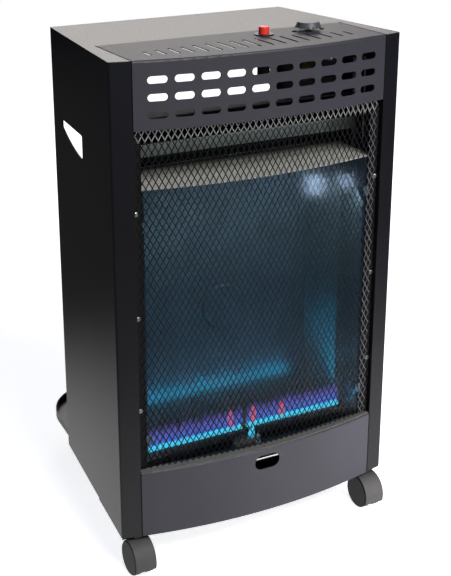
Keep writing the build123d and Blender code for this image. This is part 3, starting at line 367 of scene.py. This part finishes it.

# the header over the chamber is aluminised sheet too, dulled to a pale grey-green by the flue
# gas; its lip is painted lighter towards its top edge as a highlight, and all behind it dark as
# shade
bakedAluminised = finish("bakedAluminised", {
    "dark": "#8d938e", "light": "#a3aaa4", "patch": 30, "grain": 1.6, "depth": 0.05,
    "roughness": (0.38, 0.52), "sockets": {"Metallic": 0.45}, "shades": [
        ("Object", "Z", ((0.588, "#d8dcdc"), (0.594, "#e6e6e6"), (0.602, "#ffffff"))),
        ("Object", "Y", ((-0.1478, "#ffffff"), (-0.1465, "#181c1c")))]})

# matt black strip in the joints: painted shade, standing for the shadow in the gaps between the
# panels
jointShadowBlack = finish("jointShadowBlack", {
    "dark": "#040404", "light": "#070707", "patch": 20, "grain": 0.6, "depth": 0.02,
    "roughness": (0.7, 0.85), "sockets": {"Specular IOR Level": 0.15}})

# rolled glass-ceramic: clear, cool-tinted, with a thin mirror of the room on its wavy face
glass = {
    "tint": "#d3dfe8",
    "ior": 1.33,
    "roughness": 0.08,
    "waves": 90,                # mm across
    "waveDepth": 0.2 * mm,
    "waveRelief": 0.12,
}


def makeGlass():
    material, tree = newMaterial("ceramicGlass")
    place = addNode(tree, "ShaderNodeTexCoord").outputs["Object"]
    waves = addNode(tree, "ShaderNodeTexNoise", inputs={
        "Vector": place, "Scale": perMetre(glass["waves"]), "Detail": 1.0})
    relief = addNode(tree, "ShaderNodeBump", inputs={
        "Height": waves.outputs["Fac"],
        "Strength": glass["waveRelief"], "Distance": glass["waveDepth"]})
    clear = addNode(tree, "ShaderNodeBsdfTransparent", inputs={"Color": toLinear(glass["tint"])})
    mirror = addNode(tree, "ShaderNodeBsdfAnisotropic", inputs={
        "Color": toLinear("#ffffff"), "Roughness": glass["roughness"],
        "Normal": relief.outputs[0]})
    edge = addNode(tree, "ShaderNodeFresnel", inputs={
        "IOR": glass["ior"], "Normal": relief.outputs[0]})
    both = addNode(tree, "ShaderNodeMixShader", inputs={
        0: edge.outputs[0], 1: clear.outputs[0], 2: mirror.outputs[0]})
    addNode(tree, "ShaderNodeOutputMaterial", inputs={"Surface": both.outputs[0]})
    return material


finishes["ceramic_glass"] = makeGlass()
print("stage: finishes made:", len(finishes))

# nodes to which heat has given another surface than their slot's; the header's also carries
# painted shade and a painted highlight
ownFinishes = {
    "flue_header": bakedAluminised,
    "fire_chamber": heatBluedSteel,
    "chamber_base": heatBluedSteel,
    "glass_clips": heatBluedSteel,
    "heat_shield": dullShield,
}

for part in frame["record"]["subparts"]:
    name = part["node"]
    dress = ownFinishes.get(name, finishes[part["material_slot"]])
    if name.startswith("caster_wheel"):
        dress = tyreNylon
    nodes[name].data.materials.clear()
    nodes[name].data.materials.append(dress)
print("stage: frame dressed:", len(nodes), "nodes")


# mesh guard of expanded metal

guard = {
    "columns": 43,              # diamonds across
    "rows": 31,                 # diamonds up
    "midInset": 13 * mm,        # behind the bowed face in the middle
    "endInset": 8 * mm,         # and at its two ends, where the glass comes close
    "strandWidth": 1.25 * mm,
    "strandDepth": 0.8 * mm,
    "twist": 32.0,              # degrees each strand is turned out of the sheet
    "thickness": 1 * mm,        # of its plain parts
    "foot": 11.5 * mm,          # turned forward over the ledge
    "footInset": 2.5 * mm,      # its front edge behind the bowed face
    "footLimit": 1.7 * mm,      # it ends this far before the glass
    "slit": 1.6 * mm,           # openings by the foot's front edge
    "web": 0.8 * mm,            # metal before the slits and at their ends
    "edge": 2 * mm,             # plain strip at the two ends, folded back to the glass
    "glassCover": 175 * mm,     # and in again behind the mesh, to the edge of the glass
    "coverFront": 0.8 * mm,     # that last strip's two faces, before the glass clips
    "coverBack": 0.3 * mm,
    "glintFrom": 173.5 * mm,   # the strands painted lighter as a glint start here, beside the glass
    "glintTop": 622 * mm,
}
guardLow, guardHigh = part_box("mesh_guard")
guard["middleY"] = bow["frontY"] + guard["midInset"]
guard["rise"] = bowY(guardHigh.x, guard["endInset"]) - guard["middleY"]
guard["radius"] = (guardHigh.x ** 2 + guard["rise"] ** 2) / (2 * guard["rise"])
guard["centreY"] = guard["middleY"] + guard["radius"]


def guardY(x):
    return guard["centreY"] - math.sqrt(guard["radius"] ** 2 - x * x)


def strandCross(shape, pitchX, pitchZ):
    # two crossing strands of expanded metal, one cell wide, lying in the XZ plane
    length = math.hypot(pitchX, pitchZ)
    for side in (-1, 1):
        size = Matrix.Diagonal((guard["strandWidth"], guard["strandDepth"], length, 1))
        turn = Matrix.Rotation(math.radians(side * guard["twist"]), 4, "Z")
        lean = Matrix.Rotation(side * math.atan2(pitchX, pitchZ), 4, "Y")
        bmesh.ops.create_cube(shape, size=1, matrix=lean @ turn @ size)


def slitPlate(shape, pitchX):
    # one cell of the foot: a plate that leaves a slit by its front edge
    rear, front = guard["foot"] / 2, -guard["foot"] / 2
    half, bottom, top = pitchX / 2, -guard["thickness"] / 2, guard["thickness"] / 2
    slitFront = front + guard["web"]
    slitRear = slitFront + guard["slit"]
    addBox(shape, (-half, slitRear, bottom), (half, rear, top))
    addBox(shape, (-half, front, bottom), (half, slitFront, top))
    for side in (-1, 1):
        left, right = sorted((side * (half - guard["web"]), side * half))
        addBox(shape, (left, slitFront, bottom), (right, slitRear, top))


def endStrips(shape):
    # along each end of the guard, round its front, and in again behind the mesh
    low, high = guardLow, guardHigh
    thickness = guard["thickness"]
    front = guardY(high.x) - guard["strandDepth"] / 2
    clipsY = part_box("glass_clips")[0].y
    wall = high.x - thickness
    for side in (-1, 1):
        for inner, outer, near, far, bottom in (
                (wall, high.x, front, high.y, low.z),
                (high.x - guard["edge"], high.x, front, front + thickness, low.z),
                (guard["glassCover"], wall, clipsY - guard["coverFront"],
                 clipsY - guard["coverBack"], low.z + thickness)):
            left, right = sorted((side * inner, side * outer))
            addBox(shape, (left, near, bottom), (right, far, high.z))


def bowedGridTree():
    # copies its input over a grid that follows the bow
    tree, given = newTree("bowedGrid", {
        "Columns": "Int", "Rows": "Int", "Width": "Float", "Height": "Float",
        "Middle Z": "Float", "Radius": "Float", "Centre Y": "Float", "Material": "Material"})
    grid = addNode(tree, "GeometryNodeMeshGrid", inputs={
        "Size X": given["Width"], "Size Y": given["Height"],
        "Vertices X": given["Columns"], "Vertices Y": given["Rows"]})
    flat = addNode(tree, "GeometryNodeInputPosition").outputs[0]
    place = addNode(tree, "ShaderNodeSeparateXYZ", inputs={0: flat}).outputs
    square = addNode(tree, "ShaderNodeMath", {"operation": "MULTIPLY"}, {
        0: place["X"], 1: place["X"]})
    radiusSquare = addNode(tree, "ShaderNodeMath", {"operation": "MULTIPLY"}, {
        0: given["Radius"], 1: given["Radius"]})
    reachSquare = addNode(tree, "ShaderNodeMath", {"operation": "SUBTRACT"}, {
        0: radiusSquare.outputs[0], 1: square.outputs[0]})
    reach = addNode(tree, "ShaderNodeMath", {"operation": "SQRT"}, {0: reachSquare.outputs[0]})
    depth = addNode(tree, "ShaderNodeMath", {"operation": "SUBTRACT"}, {
        0: given["Centre Y"], 1: reach.outputs[0]})
    height = addNode(tree, "ShaderNodeMath", {"operation": "ADD"}, {
        0: place["Y"], 1: given["Middle Z"]})
    target = addNode(tree, "ShaderNodeCombineXYZ", inputs={
        "X": place["X"], "Y": depth.outputs[0], "Z": height.outputs[0]})
    bent = addNode(tree, "GeometryNodeSetPosition", inputs={
        "Geometry": grid.outputs["Mesh"], "Position": target.outputs[0]})
    share = addNode(tree, "ShaderNodeMath", {"operation": "DIVIDE"}, {
        0: place["X"], 1: given["Radius"]})
    angle = addNode(tree, "ShaderNodeMath", {"operation": "ARCSINE"}, {0: share.outputs[0]})
    turn = addNode(tree, "ShaderNodeCombineXYZ", inputs={"Z": angle.outputs[0]})
    copies = addNode(tree, "GeometryNodeInstanceOnPoints", inputs={
        "Points": bent.outputs[0], "Instance": given["Geometry"], "Rotation": turn.outputs[0]})
    endTree(tree, copies.outputs[0], given["Material"])
    return tree


def trimBehind(mesh, limit):
    # cuts off what lies behind y = limit and closes the cut
    shape = bmesh.new()
    shape.from_mesh(mesh)
    bmesh.ops.bisect_plane(shape, geom=[*shape.verts, *shape.edges, *shape.faces],
                           plane_co=(0, limit, 0), plane_no=(0, 1, 0), clear_outer=True)
    bmesh.ops.holes_fill(shape, edges=[edge for edge in shape.edges if edge.is_boundary])
    shape.to_mesh(mesh)
    shape.free()


def makeGuard():
    low, high = guardLow, guardHigh
    width, height = high.x - low.x, high.z - low.z
    pitchX, pitchZ = width / guard["columns"], height / guard["rows"]
    tree = bowedGridTree()
    shared = {"Columns": guard["columns"], "Width": width - pitchX}

    cell = meshFrom("strandCross", lambda shape: strandCross(shape, pitchX, pitchZ))
    sheet = grow("guardMesh", cell, tree, {
        **shared, "Rows": guard["rows"], "Height": height - pitchZ,
        "Middle Z": (low.z + high.z) / 2, "Radius": guard["radius"],
        "Centre Y": guard["centreY"], "Material": dippedBlack})
    # the strands at the right end take a lighter grey: a painted glint
    glintSlot = len(sheet.data.materials)  # an empty slot stands first, then the tree's own
    sheet.data.materials.append(strandGlintGrey)
    for face in sheet.data.polygons:
        if face.center.x > guard["glintFrom"] and face.center.z < guard["glintTop"]:
            face.material_index = glintSlot

    # the foot's pale grey is painted sheen, for the light on its upward face
    cell = meshFrom("slitPlate", lambda shape: slitPlate(shape, pitchX))
    foot = grow("guardFoot", cell, tree, {
        **shared, "Rows": 1, "Height": 0.0, "Middle Z": low.z + guard["thickness"] / 2,
        "Radius": bow["radius"] - guard["footInset"] - guard["foot"] / 2,
        "Centre Y": bow["centreY"], "Material": footSheenGrey})
    trimBehind(foot.data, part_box("glass_pane")[0].y - guard["footLimit"])

    strips = newObject("guardEnds", meshFrom("guardEnds", endStrips), scorchedBlack)
    for piece in (sheet, foot, strips):
        fasten(piece, "black_powder_coat", "mesh_guard")


makeGuard()
print("stage: guard made")


# baffle over the flue outlet, and black strips in the joints: painted shade for the shadow in
# their gaps

trim = {
    "outletFront": -137.8 * mm,
    "outletHalf": 172 * mm,
    "baffleRear": -114 * mm,    # leaves a narrow outlet behind it
    "baffleLap": 6 * mm,        # over the land round the outlet
    "baffleThickness": 0.8 * mm,
    "joint": 187.85 * mm,       # between a front pillar and the front panels
    "stripHalf": 0.7 * mm,
    "stripDepth": 1 * mm,       # how deep a strip sits in its joint
    "stripProud": 0.25 * mm,    # and how far it stands out of it
}


def flueBaffle(shape):
    half, bottom = trim["outletHalf"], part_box("visor")[1].z
    addBox(shape, (-half, trim["outletFront"] - trim["baffleLap"], bottom),
           (half, trim["baffleRear"], bottom + trim["baffleThickness"]))


def jointStrips(shape):
    # down both front panels, and back along the top of the upper one
    depth, proud = trim["stripDepth"], trim["stripProud"]
    front = bowY(trim["joint"], 0)
    for side in (-1, 1):
        middle = side * trim["joint"]
        left, right = middle - trim["stripHalf"], middle + trim["stripHalf"]
        for name in ("control_panel", "lower_front_panel"):
            low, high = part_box(name)
            addBox(shape, (left, front - proud, low.z), (right, front + depth, high.z))
        low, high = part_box("control_panel")
        addBox(shape, (left, front - proud, high.z - depth), (right, high.y, high.z + proud))


def makeTrim():
    baffle = newObject(
        "flueBaffle", meshFrom("flueBaffle", flueBaffle), finishes["visor_steel"])
    fasten(baffle, "visor_steel")
    # black strips in the joints: painted shade for the shadow in the gaps between the panels
    strips = newObject("jointStrips", meshFrom("jointStrips", jointStrips), jointShadowBlack)
    fasten(strips, None)


makeTrim()
print("stage: trim made")


# screws with cross recesses

screws = {
    "headRadius": 3.2 * mm,
    "headHeight": 1.8 * mm,
    # the head's outline over its base, as shares of its radius and height
    "dome": ((1, 0.45), (0.93, 0.75), (0.74, 0.95), (0.5, 1)),
    "shankRadius": 1.6 * mm,
    "shankLength": 4 * mm,
    "slotLength": 3.6 * mm,
    "slotWidth": 0.8 * mm,
    "slotDepth": 1.0 * mm,
    "sides": 24,
    "footInset": 7 * mm,        # foot screws behind the bowed face
    "sideDrop": (0, 15 * mm, 20 * mm),  # side screws below the node's thirds, lowest first
}


def screwTree():
    # cuts the cross into one head and sets a screw on every point of its input
    tree, given = newTree("crossHeadScrews", {
        "Screw": "Object", "Slot Length": "Float", "Slot Width": "Float",
        "Slot Depth": "Float", "Head Height": "Float", "Turn": "Vector", "Seed": "Int",
        "Material": "Material"})
    screw = addNode(tree, "GeometryNodeObjectInfo", inputs={"Object": given["Screw"]})
    barDepth = addNode(tree, "ShaderNodeMath", {"operation": "MULTIPLY"}, {
        0: given["Slot Depth"], 1: 2.0})  # half of each bar stands over the head
    height = addNode(tree, "ShaderNodeCombineXYZ", inputs={"Z": given["Head Height"]})
    cut = screw.outputs["Geometry"]
    for across, along in (("Slot Length", "Slot Width"), ("Slot Width", "Slot Length")):
        size = addNode(tree, "ShaderNodeCombineXYZ", inputs={
            "X": given[across], "Y": given[along], "Z": barDepth.outputs[0]})
        bar = addNode(tree, "GeometryNodeMeshCube", inputs={"Size": size.outputs[0]})
        raised = addNode(tree, "GeometryNodeTransform", inputs={
            "Geometry": bar.outputs["Mesh"], "Translation": height.outputs[0]})
        cut = addNode(tree, "GeometryNodeMeshBoolean", {"operation": "DIFFERENCE"}, {
            "Mesh 1": cut, "Mesh 2": raised.outputs[0]}).outputs["Mesh"]
    spin = addNode(tree, "FunctionNodeRandomValue", {"data_type": "FLOAT"}, {
        "Max": math.tau, "Seed": given["Seed"]})
    own = addNode(tree, "ShaderNodeCombineXYZ", inputs={"Z": spin.outputs["Value"]})
    placed = addNode(tree, "GeometryNodeInstanceOnPoints", inputs={
        "Points": given["Geometry"], "Instance": cut, "Rotation": given["Turn"]})
    turned = addNode(tree, "GeometryNodeRotateInstances", inputs={
        "Instances": placed.outputs[0], "Rotation": own.outputs[0]})
    endTree(tree, turned.outputs[0], given["Material"])
    return tree


def makeScrews():
    tree = screwTree()
    radius, height, shank = screws["headRadius"], screws["headHeight"], screws["shankRadius"]
    profile = [(shank, -screws["shankLength"]), (shank, 0), (radius, 0)]
    profile += [(wide * radius, tall * height) for wide, tall in screws["dome"]]
    model = newObject("screwModel", meshFrom(
        "screwModel", lambda shape: turnedBody(shape, profile, screws["sides"])))

    low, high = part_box("guard_side_screws")
    sideX = high.x - radius
    thirds = (low.z + radius, (low.z + high.z) / 2, high.z - radius)
    side = [(s * sideX, guardY(sideX) - guard["strandDepth"] / 2, z - drop)
            for s in (-1, 1) for z, drop in zip(thirds, screws["sideDrop"])]
    low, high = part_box("guard_foot_screws")
    endX = high.x - radius
    foot = [(x, bowY(x, screws["footInset"]), high.z - height) for x in (-endX, 0, endX)]
    low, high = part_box("valve_screws")
    middleY = (low.y + high.y) / 2
    valve = [(x, middleY, high.z - height) for x in (low.x + radius, high.x - radius)]

    upright, forward = (0, 0, 0), (math.radians(90), 0, 0)
    for name, slot, places, turn in (
            ("guard_side_screws", "zinc_steel", side, forward),
            ("guard_foot_screws", "zinc_steel", foot, upright),
            ("valve_screws", "black_oxide_steel", valve, upright)):
        points = pointMesh(name + "Points", places)
        group = grow(name.replace("_", "") + "Heads", points, tree, {
            "Screw": model, "Slot Length": screws["slotLength"],
            "Slot Width": screws["slotWidth"], "Slot Depth": screws["slotDepth"],
            "Head Height": height, "Turn": turn, "Seed": len(places),
            "Material": finishes[slot]})
        fasten(group, slot, name)
    bpy.data.objects.remove(model)


makeScrews()
print("stage: screws made")


# flames

flames = {
    "endGap": 4 * mm,           # from the burner's ends
    "seed": 7,
    "strength": 1.6,
    "stretch": (0.85, 1.05),    # a tongue's least and greatest height, as shares
    "lean": (0.08, 0.08, 0.4),  # radians either way
    "flicker": 7,               # mm, size of the ripples in the colours
    "waver": 0.25,              # how far up or down they shift them
    # a tongue's outline, bottom first, as shares of its width and height
    "outline": ((0.3, 0), (0.5, 0.1), (0.46, 0.35), (0.33, 0.65), (0.16, 0.88), (0.02, 1)),
    "sides": 10,
    # spacing, or places, width and height of the tongues
    "roots": (2.6 * mm, 8 * mm, 10 * mm),
    "body": (5 * mm, 10 * mm, 42 * mm),
    "tips": ((-23 * mm, 13 * mm, 62 * mm), 11 * mm, 40 * mm),   # where some gas burns sooty
    "pilot": ((0, 4 * mm), 7 * mm, 19 * mm),
    # share of the height, colour, and how well it covers
    "rootColours": (
        (0.0, "#35c8e0", 1.0), (0.7, "#4fe0f2", 1.0), (0.9, "#3f9ce8", 0.7),
        (1.0, "#2f62d8", 0.0)),
    "bodyColours": (
        (0.0, "#2f62d8", 0.0), (0.2, "#3f5cd0", 0.0), (0.27, "#4f66c8", 0.38),
        (0.6, "#6f60b4", 0.26), (1.0, "#57409a", 0.0)),
    "tipColours": (
        (0.0, "#5a4fb0", 0.0), (0.2, "#d8505a", 0.2), (0.3, "#f46264", 0.9),
        (0.6, "#ee5a62", 0.85), (1.0, "#a03a60", 0.0)),
    "pilotColours": (
        (0.0, "#1f7f9a", 0.5), (0.45, "#4fd6ea", 0.95), (0.9, "#5aeafa", 0.95),
        (1.0, "#46d6ec", 0.3)),
}


def gasFlame(name, bands, bottom, height):
    # burning gas: its colour and how well it covers follow the height over its ports
    material, tree = newMaterial(name)
    place = addNode(tree, "ShaderNodeTexCoord").outputs["Object"]
    flicker = addNode(tree, "ShaderNodeTexNoise", inputs={
        "Vector": place, "Scale": perMetre(flames["flicker"]), "Detail": 1.0})
    upward = addNode(tree, "ShaderNodeSeparateXYZ", inputs={0: place}).outputs["Z"]
    climb = addNode(tree, "ShaderNodeMapRange", inputs={
        "Value": upward, "From Min": bottom, "From Max": bottom + height,
        "To Min": 0.0, "To Max": 1.0})
    centred = addNode(tree, "ShaderNodeMath", {"operation": "SUBTRACT"}, {
        0: flicker.outputs["Fac"], 1: 0.5})
    shift = addNode(tree, "ShaderNodeMath", {"operation": "MULTIPLY"}, {
        0: centred.outputs[0], 1: flames["waver"]})
    wavy = addNode(tree, "ShaderNodeMath", {"operation": "ADD"}, {
        0: climb.outputs[0], 1: shift.outputs[0]})
    ramp = addNode(tree, "ShaderNodeValToRGB", inputs={0: wavy.outputs[0]})
    fillRamp(ramp, [(at, toLinear(colour)[:3] + [cover]) for at, colour, cover in bands])
    clear = addNode(tree, "ShaderNodeBsdfTransparent", inputs={"Color": toLinear("#ffffff")})
    glow = addNode(tree, "ShaderNodeBsdfPrincipled", inputs={
        "Base Color": toLinear("#000000"), "Roughness": 1.0, "Specular IOR Level": 0.0,
        "Emission Color": ramp.outputs["Color"], "Emission Strength": flames["strength"]})
    both = addNode(tree, "ShaderNodeMixShader", inputs={
        0: ramp.outputs["Alpha"], 1: clear.outputs[0], 2: glow.outputs[0]})
    addNode(tree, "ShaderNodeOutputMaterial", inputs={"Surface": both.outputs[0]})
    return material


def flameTree():
    # a tongue on every point, each with its own height and a slight lean
    tree, given = newTree("flameRow", {
        "Points": "Object", "Low": "Float", "High": "Float", "Seed": "Int",
        "Material": "Material"})
    points = addNode(tree, "GeometryNodeObjectInfo", inputs={"Object": given["Points"]})
    tall = addNode(tree, "FunctionNodeRandomValue", {"data_type": "FLOAT"}, {
        "Min": given["Low"], "Max": given["High"], "Seed": given["Seed"]})
    size = addNode(tree, "ShaderNodeCombineXYZ", inputs={
        "X": 1.0, "Y": 1.0, "Z": tall.outputs["Value"]})
    lean = addNode(tree, "FunctionNodeRandomValue", {"data_type": "FLOAT_VECTOR"}, {
        "Min": [-angle for angle in flames["lean"]], "Max": flames["lean"],
        "Seed": given["Seed"]})
    copies = addNode(tree, "GeometryNodeInstanceOnPoints", inputs={
        "Points": points.outputs["Geometry"], "Instance": given["Geometry"],
        "Rotation": lean.outputs["Value"], "Scale": size.outputs[0]})
    endTree(tree, copies.outputs[0], given["Material"])
    return tree


def tongue(shape, width, height):
    profile = [(wide * width, tall * height) for wide, tall in flames["outline"]]
    turnedBody(shape, profile, flames["sides"])


def makeFlames():
    tree = flameTree()
    low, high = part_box("right_burner_bar")
    top, middleY = high.z, (low.y + high.y) / 2
    first, last = low.x + flames["endGap"], high.x - flames["endGap"]
    pilotLow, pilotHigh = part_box("pilot_burner")
    pilotTop, pilotY = pilotHigh.z, (pilotLow.y + pilotHigh.y) / 2

    def rowOf(pitch):
        # evenly spaced along both burner bars
        count = round((last - first) / pitch)
        places = [first + (last - first) * i / count for i in range(count + 1)]
        return [(side * x, middleY, top) for side in (-1, 1) for x in places]

    rootPitch, rootWidth, rootHeight = flames["roots"]
    bodyPitch, bodyWidth, bodyHeight = flames["body"]
    tipX, tipWidth, tipHeight = flames["tips"]
    pilotX, pilotWidth, pilotHeight = flames["pilot"]
    tips = [(x, middleY, top) for x in tipX]
    pilots = [(x, pilotY, pilotTop) for x in pilotX]
    least, greatest = flames["stretch"]
    for name, gas, colours, points, bottom, width, height in (
            ("flameRoots", "gasFlameRoot", "rootColours", rowOf(rootPitch), top,
             rootWidth, rootHeight),
            ("burnerFlames", "gasFlame", "bodyColours", rowOf(bodyPitch), top,
             bodyWidth, bodyHeight),
            ("redFlameTips", "sootyFlame", "tipColours", tips, top, tipWidth, tipHeight),
            ("pilotFlames", "pilotFlame", "pilotColours", pilots, pilotTop,
             pilotWidth, pilotHeight)):
        holder = newObject(name + "Points", pointMesh(name + "Points", points))
        model = meshFrom(name + "Tongue", lambda shape: tongue(shape, width, height))
        fire = grow(name, model, tree, {
            "Points": holder, "Low": least, "High": greatest, "Seed": flames["seed"],
            "Material": gasFlame(gas, flames[colours], bottom, height)})
        bpy.data.objects.remove(holder)
        fasten(fire, None)


makeFlames()
print("stage: flames made")


# floor, light and camera

studio = {
    "floor": "#f4f4f4",
    "floorFront": -3.0,
    "floorBack": 3.6,
    "floorHalf": 3.0,
    "wallHeight": 4.0,
    "floorGlow": 0.8,           # what the floor shows of white by itself near the heater
    "glowNear": 0.7,
    "glowFar": 1.8,             # from here on it is all white
    "mirrorCentre": (0.15, -0.1, 0),
    "mirrorNear": 0.4,          # the pale floor mirrors fully this near the heater
    "mirrorFar": 1.0,           # and hardly beyond this
    "mirrorPeak": 0.85,
    "mirrorRest": 0.06,
    "backCentre": (1.6, 3.6, 2.1),  # the part of the backdrop that the top mirrors
    "backNear": 1.4,
    "backFar": 2.6,             # the rest is dark in a reflection
    "roomLight": "#5f7390",     # the room beyond the floor, as a reflection shows it
    "roomStrength": 0.45,
}


def fadeRange(tree, centre, near, far, atNear, atFar):
    # a value that changes smoothly with the distance from a point
    place = addNode(tree, "ShaderNodeTexCoord").outputs["Object"]
    away = addNode(tree, "ShaderNodeVectorMath", {"operation": "DISTANCE"}, {0: place, 1: centre})
    return addNode(tree, "ShaderNodeMapRange", {"interpolation_type": "SMOOTHSTEP"}, {
        "Value": away.outputs["Value"], "From Min": near, "From Max": far,
        "To Min": atNear, "To Max": atFar}).outputs[0]


def lightPaths(tree):
    # the kinds of ray, and whether a surface is seen straight or through glass
    path = addNode(tree, "ShaderNodeLightPath").outputs
    seen = addNode(tree, "ShaderNodeMath", {"operation": "MAXIMUM"}, {
        0: path["Is Camera Ray"], 1: path["Is Transmission Ray"]})
    return path, seen.outputs[0]


def paleFloor():
    # white to the eye and through glass, over real shading that keeps the shadow; in a
    # reflection it is white near the heater and dark far away, as a paper sweep in a dim room
    material, tree = newMaterial("paleFloor")
    path, seen = lightPaths(tree)
    glow = fadeRange(
        tree, (0, 0, 0), studio["glowNear"], studio["glowFar"], studio["floorGlow"], 1.0)
    matt = addNode(tree, "ShaderNodeBsdfDiffuse", inputs={"Color": toLinear(studio["floor"])})
    strength = addNode(tree, "ShaderNodeMath", {"operation": "MULTIPLY"}, {0: seen, 1: glow})
    white = addNode(tree, "ShaderNodeEmission", inputs={
        "Color": toLinear("#ffffff"), "Strength": strength.outputs[0]})
    direct = addNode(tree, "ShaderNodeAddShader", inputs={0: matt.outputs[0], 1: white.outputs[0]})
    mirrored = addNode(tree, "ShaderNodeEmission", inputs={
        "Color": toLinear("#ffffff"),
        "Strength": fadeRange(tree, studio["mirrorCentre"], studio["mirrorNear"],
                              studio["mirrorFar"], studio["mirrorPeak"], studio["mirrorRest"])})
    both = addNode(tree, "ShaderNodeMixShader", inputs={
        0: path["Is Glossy Ray"], 1: direct.outputs[0], 2: mirrored.outputs[0]})
    addNode(tree, "ShaderNodeOutputMaterial", inputs={"Surface": both.outputs[0]})
    return material


def paleBackdrop():
    # pure white to the eye and through glass; in a reflection it is white where the top
    # panel looks at it
    material, tree = newMaterial("paleBackdrop")
    path, seen = lightPaths(tree)
    near = fadeRange(
        tree, studio["backCentre"], studio["backNear"], studio["backFar"], 1.0, 0.0)
    mirrored = addNode(tree, "ShaderNodeMath", {"operation": "MULTIPLY"}, {
        0: path["Is Glossy Ray"], 1: near})
    strength = addNode(tree, "ShaderNodeMath", {"operation": "MAXIMUM"}, {
        0: seen, 1: mirrored.outputs[0]})
    white = addNode(tree, "ShaderNodeEmission", inputs={
        "Color": toLinear("#ffffff"), "Strength": strength.outputs[0]})
    addNode(tree, "ShaderNodeOutputMaterial", inputs={"Surface": white.outputs[0]})
    return material


def flatSheet(name, corners, material):
    mesh = meshFrom(name, lambda shape: shape.faces.new(
        [shape.verts.new(corner) for corner in corners]))
    return newObject(name, mesh, material)


def makeStage():
    half, front, back = studio["floorHalf"], studio["floorFront"], studio["floorBack"]
    top = studio["wallHeight"]
    floor = flatSheet("floor", (
        (-half, front, 0), (half, front, 0), (half, back, 0), (-half, back, 0)), paleFloor())
    wall = flatSheet("backdrop", (
        (-half, back, 0), (half, back, 0), (half, back, top), (-half, back, top)),
        paleBackdrop())


def makeWorld():
    world = bpy.data.worlds.new("studio")
    bpy.context.scene.world = world
    world.use_nodes = True
    tree = world.node_tree
    tree.nodes.clear()
    seen = lightPaths(tree)[1]
    room = addNode(tree, "ShaderNodeBackground", inputs={
        "Color": toLinear(studio["roomLight"]), "Strength": studio["roomStrength"]})
    white = addNode(tree, "ShaderNodeBackground", inputs={
        "Color": toLinear("#ffffff"), "Strength": 1.0})
    both = addNode(tree, "ShaderNodeMixShader", inputs={
        0: seen, 1: room.outputs[0], 2: white.outputs[0]})
    addNode(tree, "ShaderNodeOutputWorld", inputs={"Surface": both.outputs[0]})


lamps = {
    # name: place, aimed at, width, height, watts, colour, seen in reflections
    "keySoftbox": ((0.4, -2.2, 2.6), (0, -0.1, 0.5), 1.6, 1.2, 105, "#ffffff", True),
    "fillSoftbox": ((-2.4, -1.2, 1.6), (0, 0, 0.4), 1.2, 1.2, 4, "#dfe8ff", True),
    "topSoftbox": ((1.1, 2.3, 1.9), (0, 0, 0.7), 1.8, 1.0, 16, "#fff6f0", True),
    "floorCard": ((0.35, -0.5, 0.03), (0.15, -0.25, 0.3), 0.6, 0.3, 8.2, "#fbf8ff", False),
    "leftWindow": (
        (0.71, -1.17, 0.177), (0.088, -0.207, 0.53), 0.04, 0.04, 0.22, "#cfe4ff", True),
    "rightWindow": (
        (0.787, -1.155, 0.178), (0.139, -0.207, 0.527), 0.03, 0.03, 0.08, "#cfe4ff", True),
    "flameGlow": ((0, -0.168, 0.172), (0, -0.12, 0.4), 0.3, 0.03, 0.4, "#20c4da", True),
    "chamberGlow": ((0, -0.195, 0.5), (0, -0.11, 0.4), 0.34, 0.02, 1.0, "#d4c8bc", False),
}


def makeLamps():
    for name, (place, aim, width, height, watts, colour, mirrored) in lamps.items():
        light = bpy.data.lights.new(name, "AREA")
        light.shape = "RECTANGLE"
        light.size, light.size_y, light.energy = width, height, watts
        light.color = toLinear(colour)[:3]
        lamp = bpy.data.objects.new(name, light)
        bpy.context.scene.collection.objects.link(lamp)
        lamp.location = place
        lamp.rotation_euler = (Vector(aim) - Vector(place)).to_track_quat("-Z", "Y").to_euler()
        lamp.visible_camera = False
        lamp.visible_glossy = mirrored


viewpoint = {
    "azimuth": -26.03,          # degrees round from straight ahead
    "elevation": 18.59,
    "roll": -0.61,
    "distance": 1.6675,
    "target": (-0.0721, -0.109, 0.4827),
    "focalPixels": 1192.3,
    "imageSize": (451, 576),
    "axisPixel": (180, 215),    # where the optical axis meets the picture
    "sensorWidth": 36,          # mm
    "clip": (0.05, 30),
}


def makeCamera():
    azimuth, elevation = math.radians(viewpoint["azimuth"]), math.radians(viewpoint["elevation"])
    back = Vector((math.sin(azimuth) * math.cos(elevation),
                   -math.cos(azimuth) * math.cos(elevation), math.sin(elevation)))
    width, height = viewpoint["imageSize"]
    axisX, axisY = viewpoint["axisPixel"]
    data = bpy.data.cameras.new("photoCamera")
    data.sensor_width = viewpoint["sensorWidth"]
    data.lens = viewpoint["focalPixels"] / height * data.sensor_width
    data.shift_x = (width / 2 - axisX) / height
    data.shift_y = (axisY - height / 2) / height
    data.clip_start, data.clip_end = viewpoint["clip"]
    camera = bpy.data.objects.new("photoCamera", data)
    bpy.context.scene.collection.objects.link(camera)
    camera.location = Vector(viewpoint["target"]) + back * viewpoint["distance"]
    look = (-back).to_track_quat("-Z", "Y").to_matrix()
    roll = Matrix.Rotation(math.radians(viewpoint["roll"]), 3, "Z")
    camera.rotation_euler = (look @ roll).to_euler()
    bpy.context.scene.camera = camera


makeStage()
makeWorld()
makeLamps()
makeCamera()
bpy.context.scene.view_settings.view_transform = "Standard"
print("stage: light and camera set")

bpy.context.view_layer.update()
